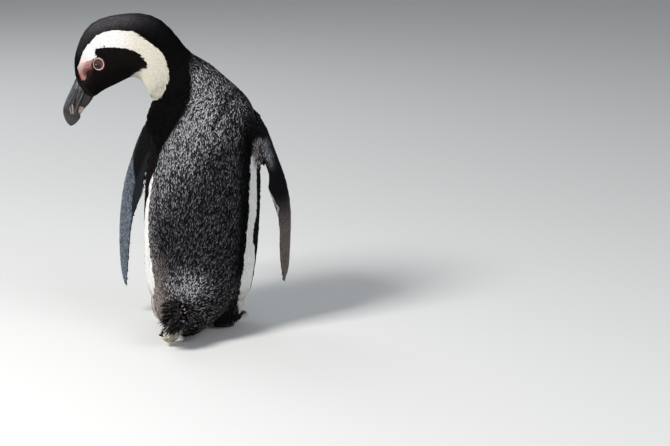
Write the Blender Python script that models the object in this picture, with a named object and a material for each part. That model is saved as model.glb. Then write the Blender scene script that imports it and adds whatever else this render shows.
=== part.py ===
"""An African penguin at life size, standing with its neck bent round to the left and its bill pointing down.

The bird faces -Y, its left side is +X, and the soles of its feet are the plane Z = 0.
Body, neck and head are one loft along the spine, parted by two thin flat cuts. Sizes are in millimetres
in the tables below, and MM turns them into Blender's metres.
"""

import math

import bmesh
import bpy
import numpy as np
from mathutils import Vector

MM = 0.001
GAP = 0.3  # the space left between two pieces that meet
RING_POINTS = 28
RINGS_PER_STATION = 2

# The body from the vent to the base of the bill. Each section is an oval: the place of its centre, the way from
# there to the back's midline and the way to the left side. The neck turns about itself as it bends, so that
# the nape ends up on the outside of the bend.
BODY = [
    ((4, 0, 27), (0, 45, 3), (44, 0, 0)),
    ((2, -2, 37), (0, 63, 6), (59, 0, 0)),
    ((1.6, -5, 62), (0, 75, 10), (65.4, 0, 0)),
    ((1, -11, 99), (0, 77, 13), (68.5, 0, 0)),
    ((0.8, -18, 140), (0, 74, 18), (69.7, 0, 0)),
    ((0.4, -26, 181), (0, 67, 21), (68.8, 0, 0)),
    ((1, -36, 218), (-1, 57, 22), (67, 1, -1)),
    ((7, -44, 250), (-10, 46, 18), (67.5, 8, -4)),
    ((19, -46, 277), (-32, 29.5, 6), (35, 33.5, -8)),
    ((34, -48, 289), (-35.5, 10, 18), (8, 39.5, -8)),
    ((47, -49, 297), (-26.5, -4, 23.5), (-5, 36.5, -2)),
    ((59, -51, 311), (-20.5, -4.5, 29), (-7, 35, 0)),
    ((73, -51, 324.5), (-13, -3, 36.5), (-7, 34, 0)),
    ((90, -48, 329), (-5, -1, 39.5), (-7, 32, 0)),
    ((105, -45, 327), (4, 1, 40), (-6.3, 29.8, 0)),
    ((120.5, -42, 322), (11.5, 2.5, 39), (-5.7, 27, 0)),
    ((133, -39, 313), (16, 3.5, 34), (-5, 24, 0)),
    ((142, -37.5, 300), (17, 3.5, 25), (-4.4, 21, 0)),
    ((147.5, -36, 289), (14.5, 3, 19.5), (-3.6, 17, 0)),
    ((150.5, -35.5, 277.5), (10.5, 2.2, 13.5), (-2.7, 12.6, 0)),
]
NECK_FROM = 8.0  # the cut between trunk and neck, counted in stations
HEAD_FROM = 13.5  # the cut between neck and head
VENT_DOME = 8
FACE_DOME = 4

# The rump, a cone that runs back and down from the trunk to the root of the tail: centre, half width, half depth.
RUMP = [((1, 20, 72), 56, 58), ((-1, 48, 54), 50, 50), ((-4, 74, 41), 37, 37), ((-6, 90, 37), 25, 32)]
RUMP_DOME = 8

# The head's own directions: it looks to the bird's left and well down, with no roll.
HEAD_YAW = math.radians(102)  # from straight ahead, -Y, towards the left, +X
HEAD_PITCH = math.radians(65)  # below level
HEAD_MIDDLE = Vector((134, -39, 304.5))
EYE_RADIUS = 7.5
EYE_PLACE = (-4.2, 18.6, -0.3)  # ahead of the head's middle, out to the side and up

# The bill: distance ahead of the head's middle, height of its ridge, height of its lower edge and half the width.
BILL_UPPER = [
    (14, 16, 0.5, 11), (24, 19, 0.6, 10.2), (36, 18.6, 0.8, 8.8), (48, 17.3, 0.8, 7.5), (59, 16, 0.5, 6.6),
    (67, 13.6, -0.2, 5.6), (73, 9.4, -1.2, 4.2), (77, 5, -1.8, 2.6), (79.5, 0.8, -1.5, 1.1),
]
BILL_LOWER = [
    (14, 0.1, -15.5, 10.2), (24, 0.2, -14, 9), (38, 0.4, -11, 7.4), (51, 0.4, -8.8, 6.1), (62, 0, -7.2, 5.1),
    (69, -0.8, -6.6, 4), (73.5, -2, -5.6, 2.4),
]

# Each flipper's middle line from the shoulder to the tip, with half the width and half the thickness of the blade.
FLIPPER_WIDTHS = (14, 19.5, 24, 24.5, 22, 18.5, 12.5, 4)
FLIPPER_THICKNESSES = (11, 7.5, 5, 4.2, 3.6, 3, 2.2, 1.2)
FLIPPER_RIGHT = [
    (-49.5, -46, 250), (-61, -52, 226), (-71.5, -53, 197), (-83.5, -50, 166), (-93.5, -47, 130), (-94.6, -44, 97),
    (-95, -42, 68), (-94.5, -41, 54),
]
FLIPPER_LEFT = [
    (53, -46, 247), (73, -48, 222), (85.5, -46, 190), (95, -44, 160), (101, -41.5, 125), (103.5, -39, 90),
    (103.5, -36.5, 57), (102, -35, 40),
]
# How many degrees the leading edge stands out from straight ahead, from the shoulder to the tip.
FLIPPER_TURNS_RIGHT = (13, 13, 12, 13, 5, 6, 9, 9)
FLIPPER_TURNS_LEFT = (34, 34, 34, 34, 34, 34, 34, 34)
FLIPPER_POINTS = 16

# The feathered legs: height, half width and half depth of each section. The feet stand a little unevenly.
STANCE = {1: (35, -4), -1: (-28, -4)}  # where each leg comes down, the left one first
LEG = [(78, 14, 20), (58, 22, 30), (38, 25, 34), (22, 24.5, 32), (8.3, 21, 27)]

# A foot, seen from above in polar form round the heel: toes are ridges that stand out of the web.
TOE_ANGLES = [math.radians(a) for a in (-25, 0, 22)]  # the inner, middle and outer toe
TOE_LENGTHS = (49, 61, 55)
TOE_SHARPNESS = 8
TOE_HEIGHT = 6.8
TOE_HALF_WIDTH = 4.8
WEB_LENGTH = 42
WEB_THICKNESS = 2.6
HEEL_RADIUS = 13
HEEL_BACK = 2  # how far the heel lies ahead of the leg's middle
FOOT_TURN = math.radians(11)  # both feet point a little to the bird's left
TARSUS = [(1.5, 11, 13), (5, 11.5, 14), (8, 11.5, 14)]
CLAW_LENGTH = 15
CLAW_RADIUS = 3.0

# The tail: a wad of coverts round its root, and stiff quills that stand out of the wad's end.
TAIL_WAD = [((-5, 84, 40), 21, 28), ((-2, 104, 39.5), 18, 24), ((0, 119, 39), 15, 19.5)]
TAIL_FAN_FROM = (-10, 40, 33)  # the quills spread as if they all came from here
TAIL_COLUMNS = 6
TAIL_LAYERS = 5
QUILL_LENGTH = 27  # of the longest, beyond the wad

PLUMAGE_BLACK = ("plumage_black", (0.02, 0.021, 0.024), 0.55)
FLIPPER_BLACK = ("flipper_black", (0.03, 0.034, 0.04), 0.5)
TAIL_BLACK = ("tail_black", (0.012, 0.011, 0.011), 0.5)
HORN = ("bill_horn", (0.028, 0.028, 0.03), 0.35)
CLAW_HORN = ("claw_horn", (0.03, 0.027, 0.025), 0.4)
EYE_WET = ("eye_wet", (0.045, 0.02, 0.012), 0.08)
FOOT_SKIN = ("foot_skin", (0.035, 0.033, 0.034), 0.6)


def clear_scene():
    for obj in list(bpy.data.objects):
        bpy.data.objects.remove(obj)


def material(name, colour, roughness):
    found = bpy.data.materials.get(name)
    if found is None:
        found = bpy.data.materials.new(name)
        found.use_nodes = True
        shader = found.node_tree.nodes["Principled BSDF"]
        shader.inputs["Base Color"].default_value = (*colour, 1.0)
        shader.inputs["Roughness"].default_value = roughness
        shader.inputs["Metallic"].default_value = 0.0
    return found


def smooth_curve(values, places):
    """Rows of values read at fractional places, on a natural cubic spline through all of them."""
    values = np.array(values, float)
    n = len(values)
    bend = np.zeros_like(values)
    if n > 2:
        system = np.diag(np.full(n - 2, 4.0)) + np.diag(np.ones(n - 3), 1) + np.diag(np.ones(n - 3), -1)
        bend[1:-1] = np.linalg.solve(system, 6 * (values[2:] - 2 * values[1:-1] + values[:-2]))
    found = []
    for place in places:
        i = min(int(place), n - 2)
        t = place - i
        cubic = ((1 - t) ** 3 - (1 - t)) * bend[i] + (t**3 - t) * bend[i + 1]
        found.append((1 - t) * values[i] + t * values[i + 1] + cubic / 6)
    return np.array(found)


def mesh_object(name, finish, vertices, faces):
    """One closed mesh, given in millimetres, as an object in metres with its own material."""
    mesh = bpy.data.meshes.new(name)
    mesh.from_pydata([tuple(float(c) * MM for c in v) for v in vertices], [], faces)
    working = bmesh.new()
    working.from_mesh(mesh)
    bmesh.ops.triangulate(working, faces=working.faces, quad_method="FIXED")
    bmesh.ops.recalc_face_normals(working, faces=working.faces)
    working.to_mesh(mesh)
    working.free()
    mesh.shade_smooth()
    mesh.set_sharp_from_angle(angle=math.radians(50))
    mesh.materials.append(material(*finish))
    obj = bpy.data.objects.new(name, mesh)
    bpy.context.scene.collection.objects.link(obj)
    return obj


def dome(ring, outward, height, steps=3):
    """Smaller copies of a ring that round off a loft's end, height beyond it along outward."""
    centre = ring.mean(axis=0)
    found = []
    for step in range(1, steps + 1):
        angle = step / (steps + 0.35) * math.pi / 2
        shrunk = centre + (ring - centre) * math.cos(angle)
        found.append(shrunk + np.array(outward) * height * math.sin(angle))
    return found


def loft(name, finish, rings):
    """A closed skin over a row of rings that all have the same number of points."""
    count = len(rings[0])
    vertices = np.concatenate(rings)
    faces = [list(range(count)), [len(vertices) - 1 - i for i in range(count)]]
    for row in range(len(rings) - 1):
        for i in range(count):
            j = (i + 1) % count
            a, b = row * count, (row + 1) * count
            faces.append([a + i, a + j, b + j, b + i])
    return mesh_object(name, finish, vertices, faces)


def unit(vector):
    return np.array(vector, float) / np.linalg.norm(vector)


def oval(centre, up, side, count):
    """A ring of points round a centre, from the way up, over the side and back."""
    angles = np.linspace(0, 2 * math.pi, count, endpoint=False)
    return np.array(centre, float) + np.outer(np.cos(angles), up) + np.outer(np.sin(angles), side)


def body_rings(start, end, grow=0.0, trim_start=0.0, trim_end=0.0):
    """Rings of the body between two stations, each grown outwards, with the end rings moved in along the spine."""
    count = max(2, round((end - start) * RINGS_PER_STATION) + 1)
    rows = smooth_curve([np.concatenate(station) for station in BODY], np.linspace(start, end, count))
    rings = []
    for i, row in enumerate(rows):
        centre, up, side = row[:3], row[3:6], row[6:]
        along = unit(np.cross(up, side)) * -1
        slip = trim_start if i == 0 else -trim_end if i == count - 1 else 0.0
        rings.append(oval(centre + along * slip, up + unit(up) * grow, side + unit(side) * grow, RING_POINTS))
    return rings


def trunk_barrel(name, grow=0.0):
    rings = body_rings(0, NECK_FROM, grow, trim_end=0.0 if grow else GAP / 2)
    bottom = dome(rings[0], (0, 0, -1), VENT_DOME + grow)
    return loft(name, PLUMAGE_BLACK, bottom[::-1] + rings)


def cone(name, finish, table, tip_height, grow=0.0):
    """A tapering limb with oval sections, each given as its centre, half width and half depth."""
    places = np.linspace(0, len(table) - 1, 2 * len(table))
    rows = smooth_curve([(*centre, wide, deep) for centre, wide, deep in table], places)
    rings = []
    for i, row in enumerate(rows):
        along = unit(rows[min(i + 1, len(rows) - 1)][:3] - rows[max(i - 1, 0)][:3])
        up = np.cross(along, (1, 0, 0))
        rings.append(oval(row[:3], up * (row[4] + grow), (row[3] + grow, 0, 0), 24))
    return loft(name, finish, rings + dome(rings[-1], along, tip_height + grow))


def rump_cone(name, grow=0.0):
    return cone(name, PLUMAGE_BLACK, RUMP, RUMP_DOME, grow)


def cut_or_join(target, other, operation):
    """A Boolean of two meshes, applied, with the second one removed."""
    modifier = target.modifiers.new("shape", "BOOLEAN")
    modifier.operation = operation
    modifier.solver = "EXACT"
    modifier.object = other
    graph = bpy.context.evaluated_depsgraph_get()
    made = bpy.data.meshes.new_from_object(target.evaluated_get(graph))
    made.name = target.name
    target.modifiers.remove(modifier)
    target.data = made
    bpy.data.objects.remove(other)
    return target


def make_trunk():
    trunk = trunk_barrel("trunk")
    return cut_or_join(trunk, rump_cone("rump_part"), "UNION")


def make_neck():
    rings = body_rings(NECK_FROM, HEAD_FROM, trim_start=GAP / 2, trim_end=GAP / 2)
    return loft("neck", PLUMAGE_BLACK, rings)


def head_rings(grow=0.0):
    rings = body_rings(HEAD_FROM, len(BODY) - 1, grow, trim_start=0.0 if grow else GAP / 2)
    return rings + dome(rings[-1], head_directions()[0], FACE_DOME + grow)


def head_directions():
    """Ahead, left and up as the head has them."""
    level = np.array((math.sin(HEAD_YAW), -math.cos(HEAD_YAW), 0))
    down = np.array((0, 0, -1))
    ahead = level * math.cos(HEAD_PITCH) + down * math.sin(HEAD_PITCH)
    up = level * math.sin(HEAD_PITCH) - down * math.cos(HEAD_PITCH)
    return ahead, np.cross(up, ahead), up


def eyeball(name, side, grow=0.0):
    ahead, left, up = head_directions()
    centre = np.array(HEAD_MIDDLE) + ahead * EYE_PLACE[0] + left * EYE_PLACE[1] * side + up * EYE_PLACE[2]
    working = bmesh.new()
    bmesh.ops.create_icosphere(working, subdivisions=3, radius=(EYE_RADIUS + grow) * MM)
    mesh = bpy.data.meshes.new(name)
    working.to_mesh(mesh)
    working.free()
    mesh.shade_smooth()
    mesh.materials.append(material(*EYE_WET))
    obj = bpy.data.objects.new(name, mesh)
    obj.location = Vector(centre) * MM
    bpy.context.scene.collection.objects.link(obj)
    bpy.context.view_layer.update()
    return obj


def make_head_and_eyes():
    head = loft("head", PLUMAGE_BLACK, head_rings())
    for name, side in (("eye_left", 1), ("eye_right", -1)):
        cut_or_join(head, eyeball("socket", side, GAP), "DIFFERENCE")
        eyeball(name, side)


def bill_half(name, table, arched_up):
    """One half of the bill: an arch over the flat line where the two halves meet, or under it."""
    ahead, left, up = head_directions()
    places = np.linspace(0, len(table) - 1, 2 * len(table) - 1)
    rows = smooth_curve(table, places)
    arch_points, flat_points = 11, 3
    rings = []
    for reach, top, bottom, half_width in rows:
        crown, edge = (top, bottom) if arched_up else (bottom, top)
        points = []
        for i in range(arch_points):
            angle = math.pi * i / (arch_points - 1)
            rise = edge + (crown - edge) * math.sin(angle) ** 0.85
            points.append((half_width * math.cos(angle), rise))
        for i in range(1, flat_points + 1):
            points.append((half_width * (-1 + 2 * i / (flat_points + 1)), edge))
        rings.append(
            np.array([np.array(HEAD_MIDDLE) + ahead * reach + left * x + up * z for x, z in points])
        )
    half = loft(name, HORN, rings)
    return cut_or_join(half, loft("face_part", HORN, head_rings(GAP)), "DIFFERENCE")


def make_flipper(name, line, turns, side):
    """A flat blade with a rounded leading edge. side is 1 on the left and -1 on the right."""
    places = np.linspace(0, len(line) - 1, 2 * len(line) - 1)
    rows = [
        (*point, wide, thick, turn)
        for point, wide, thick, turn in zip(line, FLIPPER_WIDTHS, FLIPPER_THICKNESSES, turns, strict=True)
    ]
    rows = smooth_curve(rows, places)
    angles = np.linspace(0, 2 * math.pi, FLIPPER_POINTS, endpoint=False)
    rings = []
    for i, row in enumerate(rows):
        along = unit(rows[min(i + 1, len(rows) - 1)][:3] - rows[max(i - 1, 0)][:3])
        turn = math.radians(row[5])
        leading = np.array((side * math.sin(turn), -math.cos(turn), 0))
        wide = unit(leading - along * np.dot(leading, along))
        thick = np.cross(along, wide)
        fullness = 1 + 0.25 * np.cos(angles)  # thicker behind the leading edge than towards the trailing one
        rings.append(
            row[:3]
            + np.outer(np.cos(angles), wide) * row[3]
            + np.outer(np.sin(angles) * fullness, thick) * row[4]
        )
    tip = dome(rings[-1], along, FLIPPER_WIDTHS[-1])
    flipper = loft(name, FLIPPER_BLACK, rings + tip)
    return cut_or_join(flipper, trunk_barrel("body_part", GAP), "DIFFERENCE")


def column(name, finish, table, x, y):
    """An upright loft with oval sections, each given as its height, half width and half depth."""
    rows = smooth_curve(table, np.linspace(0, len(table) - 1, 2 * len(table) - 1))
    rings = [oval((x, y, height), (0, deep, 0), (wide, 0, 0), 24) for height, wide, deep in rows]
    return loft(name, finish, rings)


def make_leg(name, side):
    leg = column(name, PLUMAGE_BLACK, LEG, *STANCE[side])
    cut_or_join(leg, trunk_barrel("body_part", GAP), "DIFFERENCE")
    return cut_or_join(leg, rump_cone("rump_part", GAP), "DIFFERENCE")


def foot_reach(angle):
    """How far the foot's outline lies from the heel, in the direction angle from straight ahead."""
    reach = HEEL_RADIUS
    between = TOE_ANGLES[0] < angle < TOE_ANGLES[-1]
    if between:
        reach = WEB_LENGTH
    for toe, length in zip(TOE_ANGLES, TOE_LENGTHS, strict=True):
        spread = abs(angle - toe) / math.radians(TOE_SHARPNESS)
        base = WEB_LENGTH if between else HEEL_RADIUS
        reach = max(reach, base + (length - base) * math.exp(-(spread**2)))
    return reach


def foot_height(x, y):
    """The top of the foot over the floor, x to the foot's outer side and y ahead of the heel."""
    height = WEB_THICKNESS
    for toe, length in zip(TOE_ANGLES, TOE_LENGTHS, strict=True):
        forward = x * math.sin(toe) + y * math.cos(toe)
        off = x * math.cos(toe) - y * math.sin(toe)
        if forward > 0:
            ridge = TOE_HEIGHT * (1 - 0.25 * forward / length) * math.exp(-((off / TOE_HALF_WIDTH) ** 2))
            height = max(height, ridge)
    return height


def foot_point(side, reach, angle, height):
    """A place on the foot, from its distance and direction from the heel."""
    x, y = reach * math.sin(angle) * side, -reach * math.cos(angle)
    turned_x = x * math.cos(FOOT_TURN) - y * math.sin(FOOT_TURN)
    turned_y = x * math.sin(FOOT_TURN) + y * math.cos(FOOT_TURN)
    return (STANCE[side][0] + turned_x, STANCE[side][1] - HEEL_BACK + turned_y, height)


def webbed_toes(name, side, grow=0.0):
    """A polar sheet from the heel out to the webbed outline, with a flat sole."""
    directions = [math.radians(a) for a in np.linspace(-180, 180, 48, endpoint=False)]
    spans = (0.0, 0.25, 0.5, 0.72, 0.9, 1.0)
    vertices = [foot_point(side, 0, 0, TOE_HEIGHT + grow)]
    for span in spans[1:]:
        for angle in directions:
            reach = (foot_reach(angle) + grow) * span
            height = foot_height(reach * math.sin(angle), reach * math.cos(angle)) * (0.55 if span == 1.0 else 1)
            vertices.append(foot_point(side, reach, angle, height + grow))
    count = len(directions)
    for angle in directions:
        vertices.append(foot_point(side, (foot_reach(angle) + grow) * 0.985, angle, -grow))
    faces = [[0, 1 + i, 1 + (i + 1) % count] for i in range(count)]
    for row in range(len(spans) - 1):
        a, b = 1 + row * count, 1 + (row + 1) * count
        for i in range(count):
            j = (i + 1) % count
            faces.append([a + i, b + i, b + j, a + j])
    faces.append([1 + (len(spans) - 1) * count + i for i in range(count)])
    return mesh_object(name, FOOT_SKIN, vertices, faces)


def make_foot(name, side):
    foot = webbed_toes(name, side)
    return cut_or_join(foot, column("tarsus_part", FOOT_SKIN, TARSUS, *STANCE[side]), "UNION")


def make_claw(name, side, toe, length):
    """A stout claw that curves down from the end of one toe to the floor."""
    heel = np.array(foot_point(side, 0, 0, 0))
    ahead = np.array(foot_point(side, 1, toe, 0)) - heel
    across = np.cross((0, 0, 1), ahead)
    rings = []
    for share in np.linspace(0, 1, 6):
        height = 4.4 - 3.7 * share**1.6
        radius = min(CLAW_RADIUS * (1 - share) ** 0.7 + 0.45, height - 0.02)
        centre = heel + ahead * (length - 5 + CLAW_LENGTH * share) + np.array((0, 0, height))
        rings.append(oval(centre, (0, 0, radius), across * radius, 8))
    claw = loft(name, CLAW_HORN, rings)
    return cut_or_join(claw, webbed_toes("toe_part", side, GAP), "DIFFERENCE")


def quill_grid(centre, half_width, half_depth):
    """A grid of points fitted to an upright oval, column by column."""
    grid = []
    for u in np.linspace(-1, 1, TAIL_COLUMNS + 1):
        for v in np.linspace(-1, 1, TAIL_LAYERS + 1):
            x, z = u * math.sqrt(1 - v * v / 2), v * math.sqrt(1 - u * u / 2)
            grid.append(np.array(centre) + np.array((x * half_width, 0, z * half_depth)))
    return np.array(grid).reshape(TAIL_COLUMNS + 1, TAIL_LAYERS + 1, 3)


def make_tail():
    """The coverts' wad, closed by a grid of cells that each rise to one quill, and cut clear of the rump."""
    columns, layers = TAIL_COLUMNS, TAIL_LAYERS
    border = [(i, 0) for i in range(columns)] + [(columns, j) for j in range(layers)]
    border += [(i, layers) for i in range(columns, 0, -1)] + [(0, j) for j in range(layers, 0, -1)]
    count = len(border)
    vertices = [tuple(grid[i, j]) for grid in (quill_grid(*row) for row in TAIL_WAD[:-1]) for i, j in border]
    last = quill_grid(*TAIL_WAD[-1])
    start = len(vertices)
    vertices += [tuple(point) for point in last.reshape(-1, 3)]

    def at(i, j):
        return start + i * (layers + 1) + j

    edge = [at(i, j) for i, j in border]
    faces = [list(range(count))]
    for k in range(count):
        n = (k + 1) % count
        faces.append([k, n, count + n, count + k])
        faces.append([count + k, count + n, edge[n], edge[k]])
    for i in range(columns):
        for j in range(layers):
            ring = [at(i, j), at(i + 1, j), at(i + 1, j + 1), at(i, j + 1)]
            corners = np.array([vertices[k] for k in ring])
            middle = corners.mean(axis=0)
            ahead = unit(middle - np.array(TAIL_FAN_FROM))
            off = (2 * i + 1) / columns - 1
            reach = QUILL_LENGTH * (1 - 0.3 * off * off - 0.07 * (i + 2 * j) % 0.2)
            for share, width in ((0.02, 0.7), (0.62, 0.62)):
                level = len(vertices)
                vertices += [tuple(middle + (c - middle) * width + ahead * reach * share) for c in corners]
                above = list(range(level, level + 4))
                faces += [[ring[k], ring[(k + 1) % 4], above[(k + 1) % 4], above[k]] for k in range(4)]
                ring = above
            vertices.append(tuple(middle + ahead * reach))
            faces += [[ring[k], ring[(k + 1) % 4], len(vertices) - 1] for k in range(4)]
    tail = mesh_object("tail", TAIL_BLACK, vertices, faces)
    return cut_or_join(tail, rump_cone("rump_part", GAP), "DIFFERENCE")


def centre_on_floor():
    """Hangs every piece on one empty, moved so that the bird's bounding box stands centred on the origin."""
    bpy.context.view_layer.update()
    pieces = [obj for obj in bpy.data.objects if obj.type == "MESH"]
    points = np.array([obj.matrix_world @ v.co for obj in pieces for v in obj.data.vertices])
    middle = (points.min(axis=0) + points.max(axis=0)) / 2
    bird = bpy.data.objects.new("penguin", None)
    bird.location = (-middle[0], -middle[1], 0)
    bpy.context.scene.collection.objects.link(bird)
    for obj in pieces:
        obj.parent = bird


def main():
    clear_scene()
    make_trunk()
    make_neck()
    make_head_and_eyes()
    bill_half("bill_upper", BILL_UPPER, arched_up=True)
    bill_half("bill_lower", BILL_LOWER, arched_up=False)
    make_flipper("flipper_left", FLIPPER_LEFT, FLIPPER_TURNS_LEFT, 1)
    make_flipper("flipper_right", FLIPPER_RIGHT, FLIPPER_TURNS_RIGHT, -1)
    for side_name, side in (("left", 1), ("right", -1)):
        make_leg(f"leg_{side_name}", side)
        make_foot(f"foot_{side_name}", side)
        for toe_name, toe, length in zip(("inner", "middle", "outer"), TOE_ANGLES, TOE_LENGTHS, strict=True):
            make_claw(f"claw_{toe_name}_{side_name}", side, toe, length)
    make_tail()
    centre_on_floor()


main()
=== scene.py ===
# %% [markdown]
# # An African penguin, dressed in feathers
# A museum model of a bird starts from its body and ends with its plumage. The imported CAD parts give
# the body: trunk, neck, head, legs, feet, flippers, tail and bill. Everything made here is laid on
# them. A penguin's coat is thousands of short stiff feathers that overlap like roof tiles, so the
# coat is built the same way: one smooth skin first, then one small feather, copied all over it
# along the lie of the coat. The bill, the eyes, the claws and the tail quills are hard parts and
# get their own pieces.

# %% Load the frame
import math
from types import SimpleNamespace

import bpy
import numpy as np
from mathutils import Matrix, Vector
from mathutils.bvhtree import BVHTree
from mathutils.kdtree import KDTree


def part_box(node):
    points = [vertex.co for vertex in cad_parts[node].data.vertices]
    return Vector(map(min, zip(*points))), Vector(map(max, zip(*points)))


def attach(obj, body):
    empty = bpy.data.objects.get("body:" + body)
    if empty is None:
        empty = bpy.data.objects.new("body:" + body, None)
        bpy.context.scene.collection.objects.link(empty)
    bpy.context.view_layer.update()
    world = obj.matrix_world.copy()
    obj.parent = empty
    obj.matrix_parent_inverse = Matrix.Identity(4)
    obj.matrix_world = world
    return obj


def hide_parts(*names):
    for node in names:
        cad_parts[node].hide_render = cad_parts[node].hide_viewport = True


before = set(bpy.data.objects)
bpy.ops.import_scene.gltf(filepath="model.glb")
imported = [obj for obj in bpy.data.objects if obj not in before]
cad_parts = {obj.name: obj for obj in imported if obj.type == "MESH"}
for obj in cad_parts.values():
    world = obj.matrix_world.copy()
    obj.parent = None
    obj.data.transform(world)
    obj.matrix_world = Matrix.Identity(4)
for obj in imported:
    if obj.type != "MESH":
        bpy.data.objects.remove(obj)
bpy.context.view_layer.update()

# %% [markdown]
# ## Small helpers
# An operator works on whatever is selected, so each step starts by deselecting everything. A copy
# of a CAD part is welded first, because the file keeps its triangles loose.

# %% Select, apply and join
MM = 0.001


def deselect():
    if bpy.context.mode != "OBJECT":
        bpy.ops.object.mode_set(mode="OBJECT")
    bpy.ops.object.select_all(action="DESELECT")


def choose(piece):
    """Makes a piece the only selected one, and the active one."""
    deselect()
    piece.select_set(True)
    bpy.context.view_layer.objects.active = piece
    return piece


def apply_modifier(piece, kind, **settings):
    """Adds a modifier, sets it up and applies it at once."""
    choose(piece)
    modifier = piece.modifiers.new(kind.lower(), kind)
    for name, value in settings.items():
        setattr(modifier, name, value)
    bpy.ops.object.modifier_apply(modifier=modifier.name)
    return piece


def welded_copy(node, name):
    """A copy of a CAD part with its loose triangles joined into one closed skin."""
    copy = bpy.data.objects.new(name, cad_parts[node].data.copy())
    bpy.context.scene.collection.objects.link(copy)
    copy.data.materials.clear()
    choose(copy)
    bpy.ops.object.mode_set(mode="EDIT")
    bpy.ops.mesh.select_all(action="SELECT")
    bpy.ops.mesh.remove_doubles(threshold=0.00002)
    bpy.ops.mesh.normals_make_consistent(inside=False)
    bpy.ops.object.mode_set(mode="OBJECT")
    return copy


def join(pieces, name):
    deselect()
    for piece in pieces:
        piece.select_set(True)
    bpy.context.view_layer.objects.active = pieces[0]
    bpy.ops.object.join()
    pieces[0].name = name
    return pieces[0]


def triangles(piece):
    piece.data.calc_loop_triangles()
    return len(piece.data.loop_triangles)


def rows_of(items, what, kind=float):
    """Three numbers of each item, such as a vertex's place, as rows."""
    found = np.zeros(len(items) * 3, kind)
    items.foreach_get(what, found)
    return found.reshape(-1, 3)


def points_of(piece):
    """All the vertices of a piece as rows of x, y, z."""
    return rows_of(piece.data.vertices, "co")


def normals_of(piece):
    return rows_of(piece.data.vertex_normals, "vector")


def move_points(piece, rows):
    """Puts the vertices of a piece at new places, given as rows of x, y, z."""
    piece.data.vertices.foreach_set("co", rows.ravel())
    piece.data.update()


def shade_smooth(piece):
    choose(piece)
    bpy.ops.object.shade_smooth()


def unit(rows):
    """Each row shortened or stretched to length one."""
    rows = np.asarray(rows, float)
    return rows / np.maximum(np.linalg.norm(rows, axis=-1, keepdims=True), 1e-12)


def smooth_step(low, high, values):
    """0 below low, 1 above high and a soft change between."""
    share = np.clip((np.asarray(values, float) - low) / (high - low), 0, 1)
    return share * share * (3 - 2 * share)


# %% [markdown]
# ## A map of the body
# Markings and the lie of the coat follow the animal, not the room. So the body gets its own map:
# how far along the spine a place is (0 at the vent, 19 at the base of the bill) and how far round
# from the middle of the back (0 to 180 degrees at the belly, plus on the bird's left). The map is
# the loft that the trunk, neck and head were made from: ovals along the spine, each with its
# centre, its way to the back and its way to the left, joined by a smooth spline.

# %% The ovals along the spine, in millimetres
SPINE = np.array([
    (4, 0, 27, 0, 45, 3, 44, 0, 0), (2, -2, 37, 0, 63, 6, 59, 0, 0),
    (1.6, -5, 62, 0, 75, 10, 65.4, 0, 0), (1, -11, 99, 0, 77, 13, 68.5, 0, 0),
    (0.8, -18, 140, 0, 74, 18, 69.7, 0, 0), (0.4, -26, 181, 0, 67, 21, 68.8, 0, 0),
    (1, -36, 218, -1, 57, 22, 67, 1, -1), (7, -44, 250, -10, 46, 18, 67.5, 8, -4),
    (19, -46, 277, -32, 29.5, 6, 35, 33.5, -8), (34, -48, 289, -35.5, 10, 18, 8, 39.5, -8),
    (47, -49, 297, -26.5, -4, 23.5, -5, 36.5, -2), (59, -51, 311, -20.5, -4.5, 29, -7, 35, 0),
    (73, -51, 324.5, -13, -3, 36.5, -7, 34, 0), (90, -48, 329, -5, -1, 39.5, -7, 32, 0),
    (105, -45, 327, 4, 1, 40, -6.3, 29.8, 0), (120.5, -42, 322, 11.5, 2.5, 39, -5.7, 27, 0),
    (133, -39, 313, 16, 3.5, 34, -5, 24, 0), (142, -37.5, 300, 17, 3.5, 25, -4.4, 21, 0),
    (147.5, -36, 289, 14.5, 3, 19.5, -3.6, 17, 0),
    (150.5, -35.5, 277.5, 10.5, 2.2, 13.5, -2.7, 12.6, 0),
], float)
HEAD_MIDDLE = np.array((134, -39, 304.5))
HEAD_YAW, HEAD_PITCH = math.radians(102), math.radians(65)
EYE_PLACE = (-4.2, 18.6, -0.3)  # ahead of the head's middle, out to the side and up
level = np.array((math.sin(HEAD_YAW), -math.cos(HEAD_YAW), 0))
down = np.array((0, 0, -1))
HEAD_AHEAD = level * math.cos(HEAD_PITCH) + down * math.sin(HEAD_PITCH)
HEAD_UP = level * math.sin(HEAD_PITCH) - down * math.cos(HEAD_PITCH)
HEAD_LEFT = np.cross(HEAD_UP, HEAD_AHEAD)

# The table counts from the bird's own middle. The left eye says where that lies in the frame.
eye_low, eye_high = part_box("eye_left")
eye_middle = (
    HEAD_MIDDLE + HEAD_AHEAD * EYE_PLACE[0] + HEAD_LEFT * EYE_PLACE[1] + HEAD_UP * EYE_PLACE[2]
)
ORIGIN = np.array((eye_low + eye_high) / 2) - eye_middle * MM
ORIGIN[2] = 0.0
print("the bird's own middle, mm:", (ORIGIN * 1000).round(2))


def placed(points_mm):
    """Millimetres in the bird's own count to metres in the frame."""
    return np.asarray(points_mm, float) * MM + ORIGIN


# %% The head's own measure
def in_head(points):
    """Millimetres ahead of the head's middle, up and to the left."""
    off = (points - ORIGIN) / MM - HEAD_MIDDLE
    return off @ HEAD_AHEAD, off @ HEAD_UP, off @ HEAD_LEFT


def from_head_measure(ahead, up, left):
    """The opposite of in_head: places in the frame, in metres."""
    return placed(
        HEAD_MIDDLE
        + np.outer(ahead, HEAD_AHEAD)
        + np.outer(up, HEAD_UP)
        + np.outer(left, HEAD_LEFT)
    )


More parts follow.
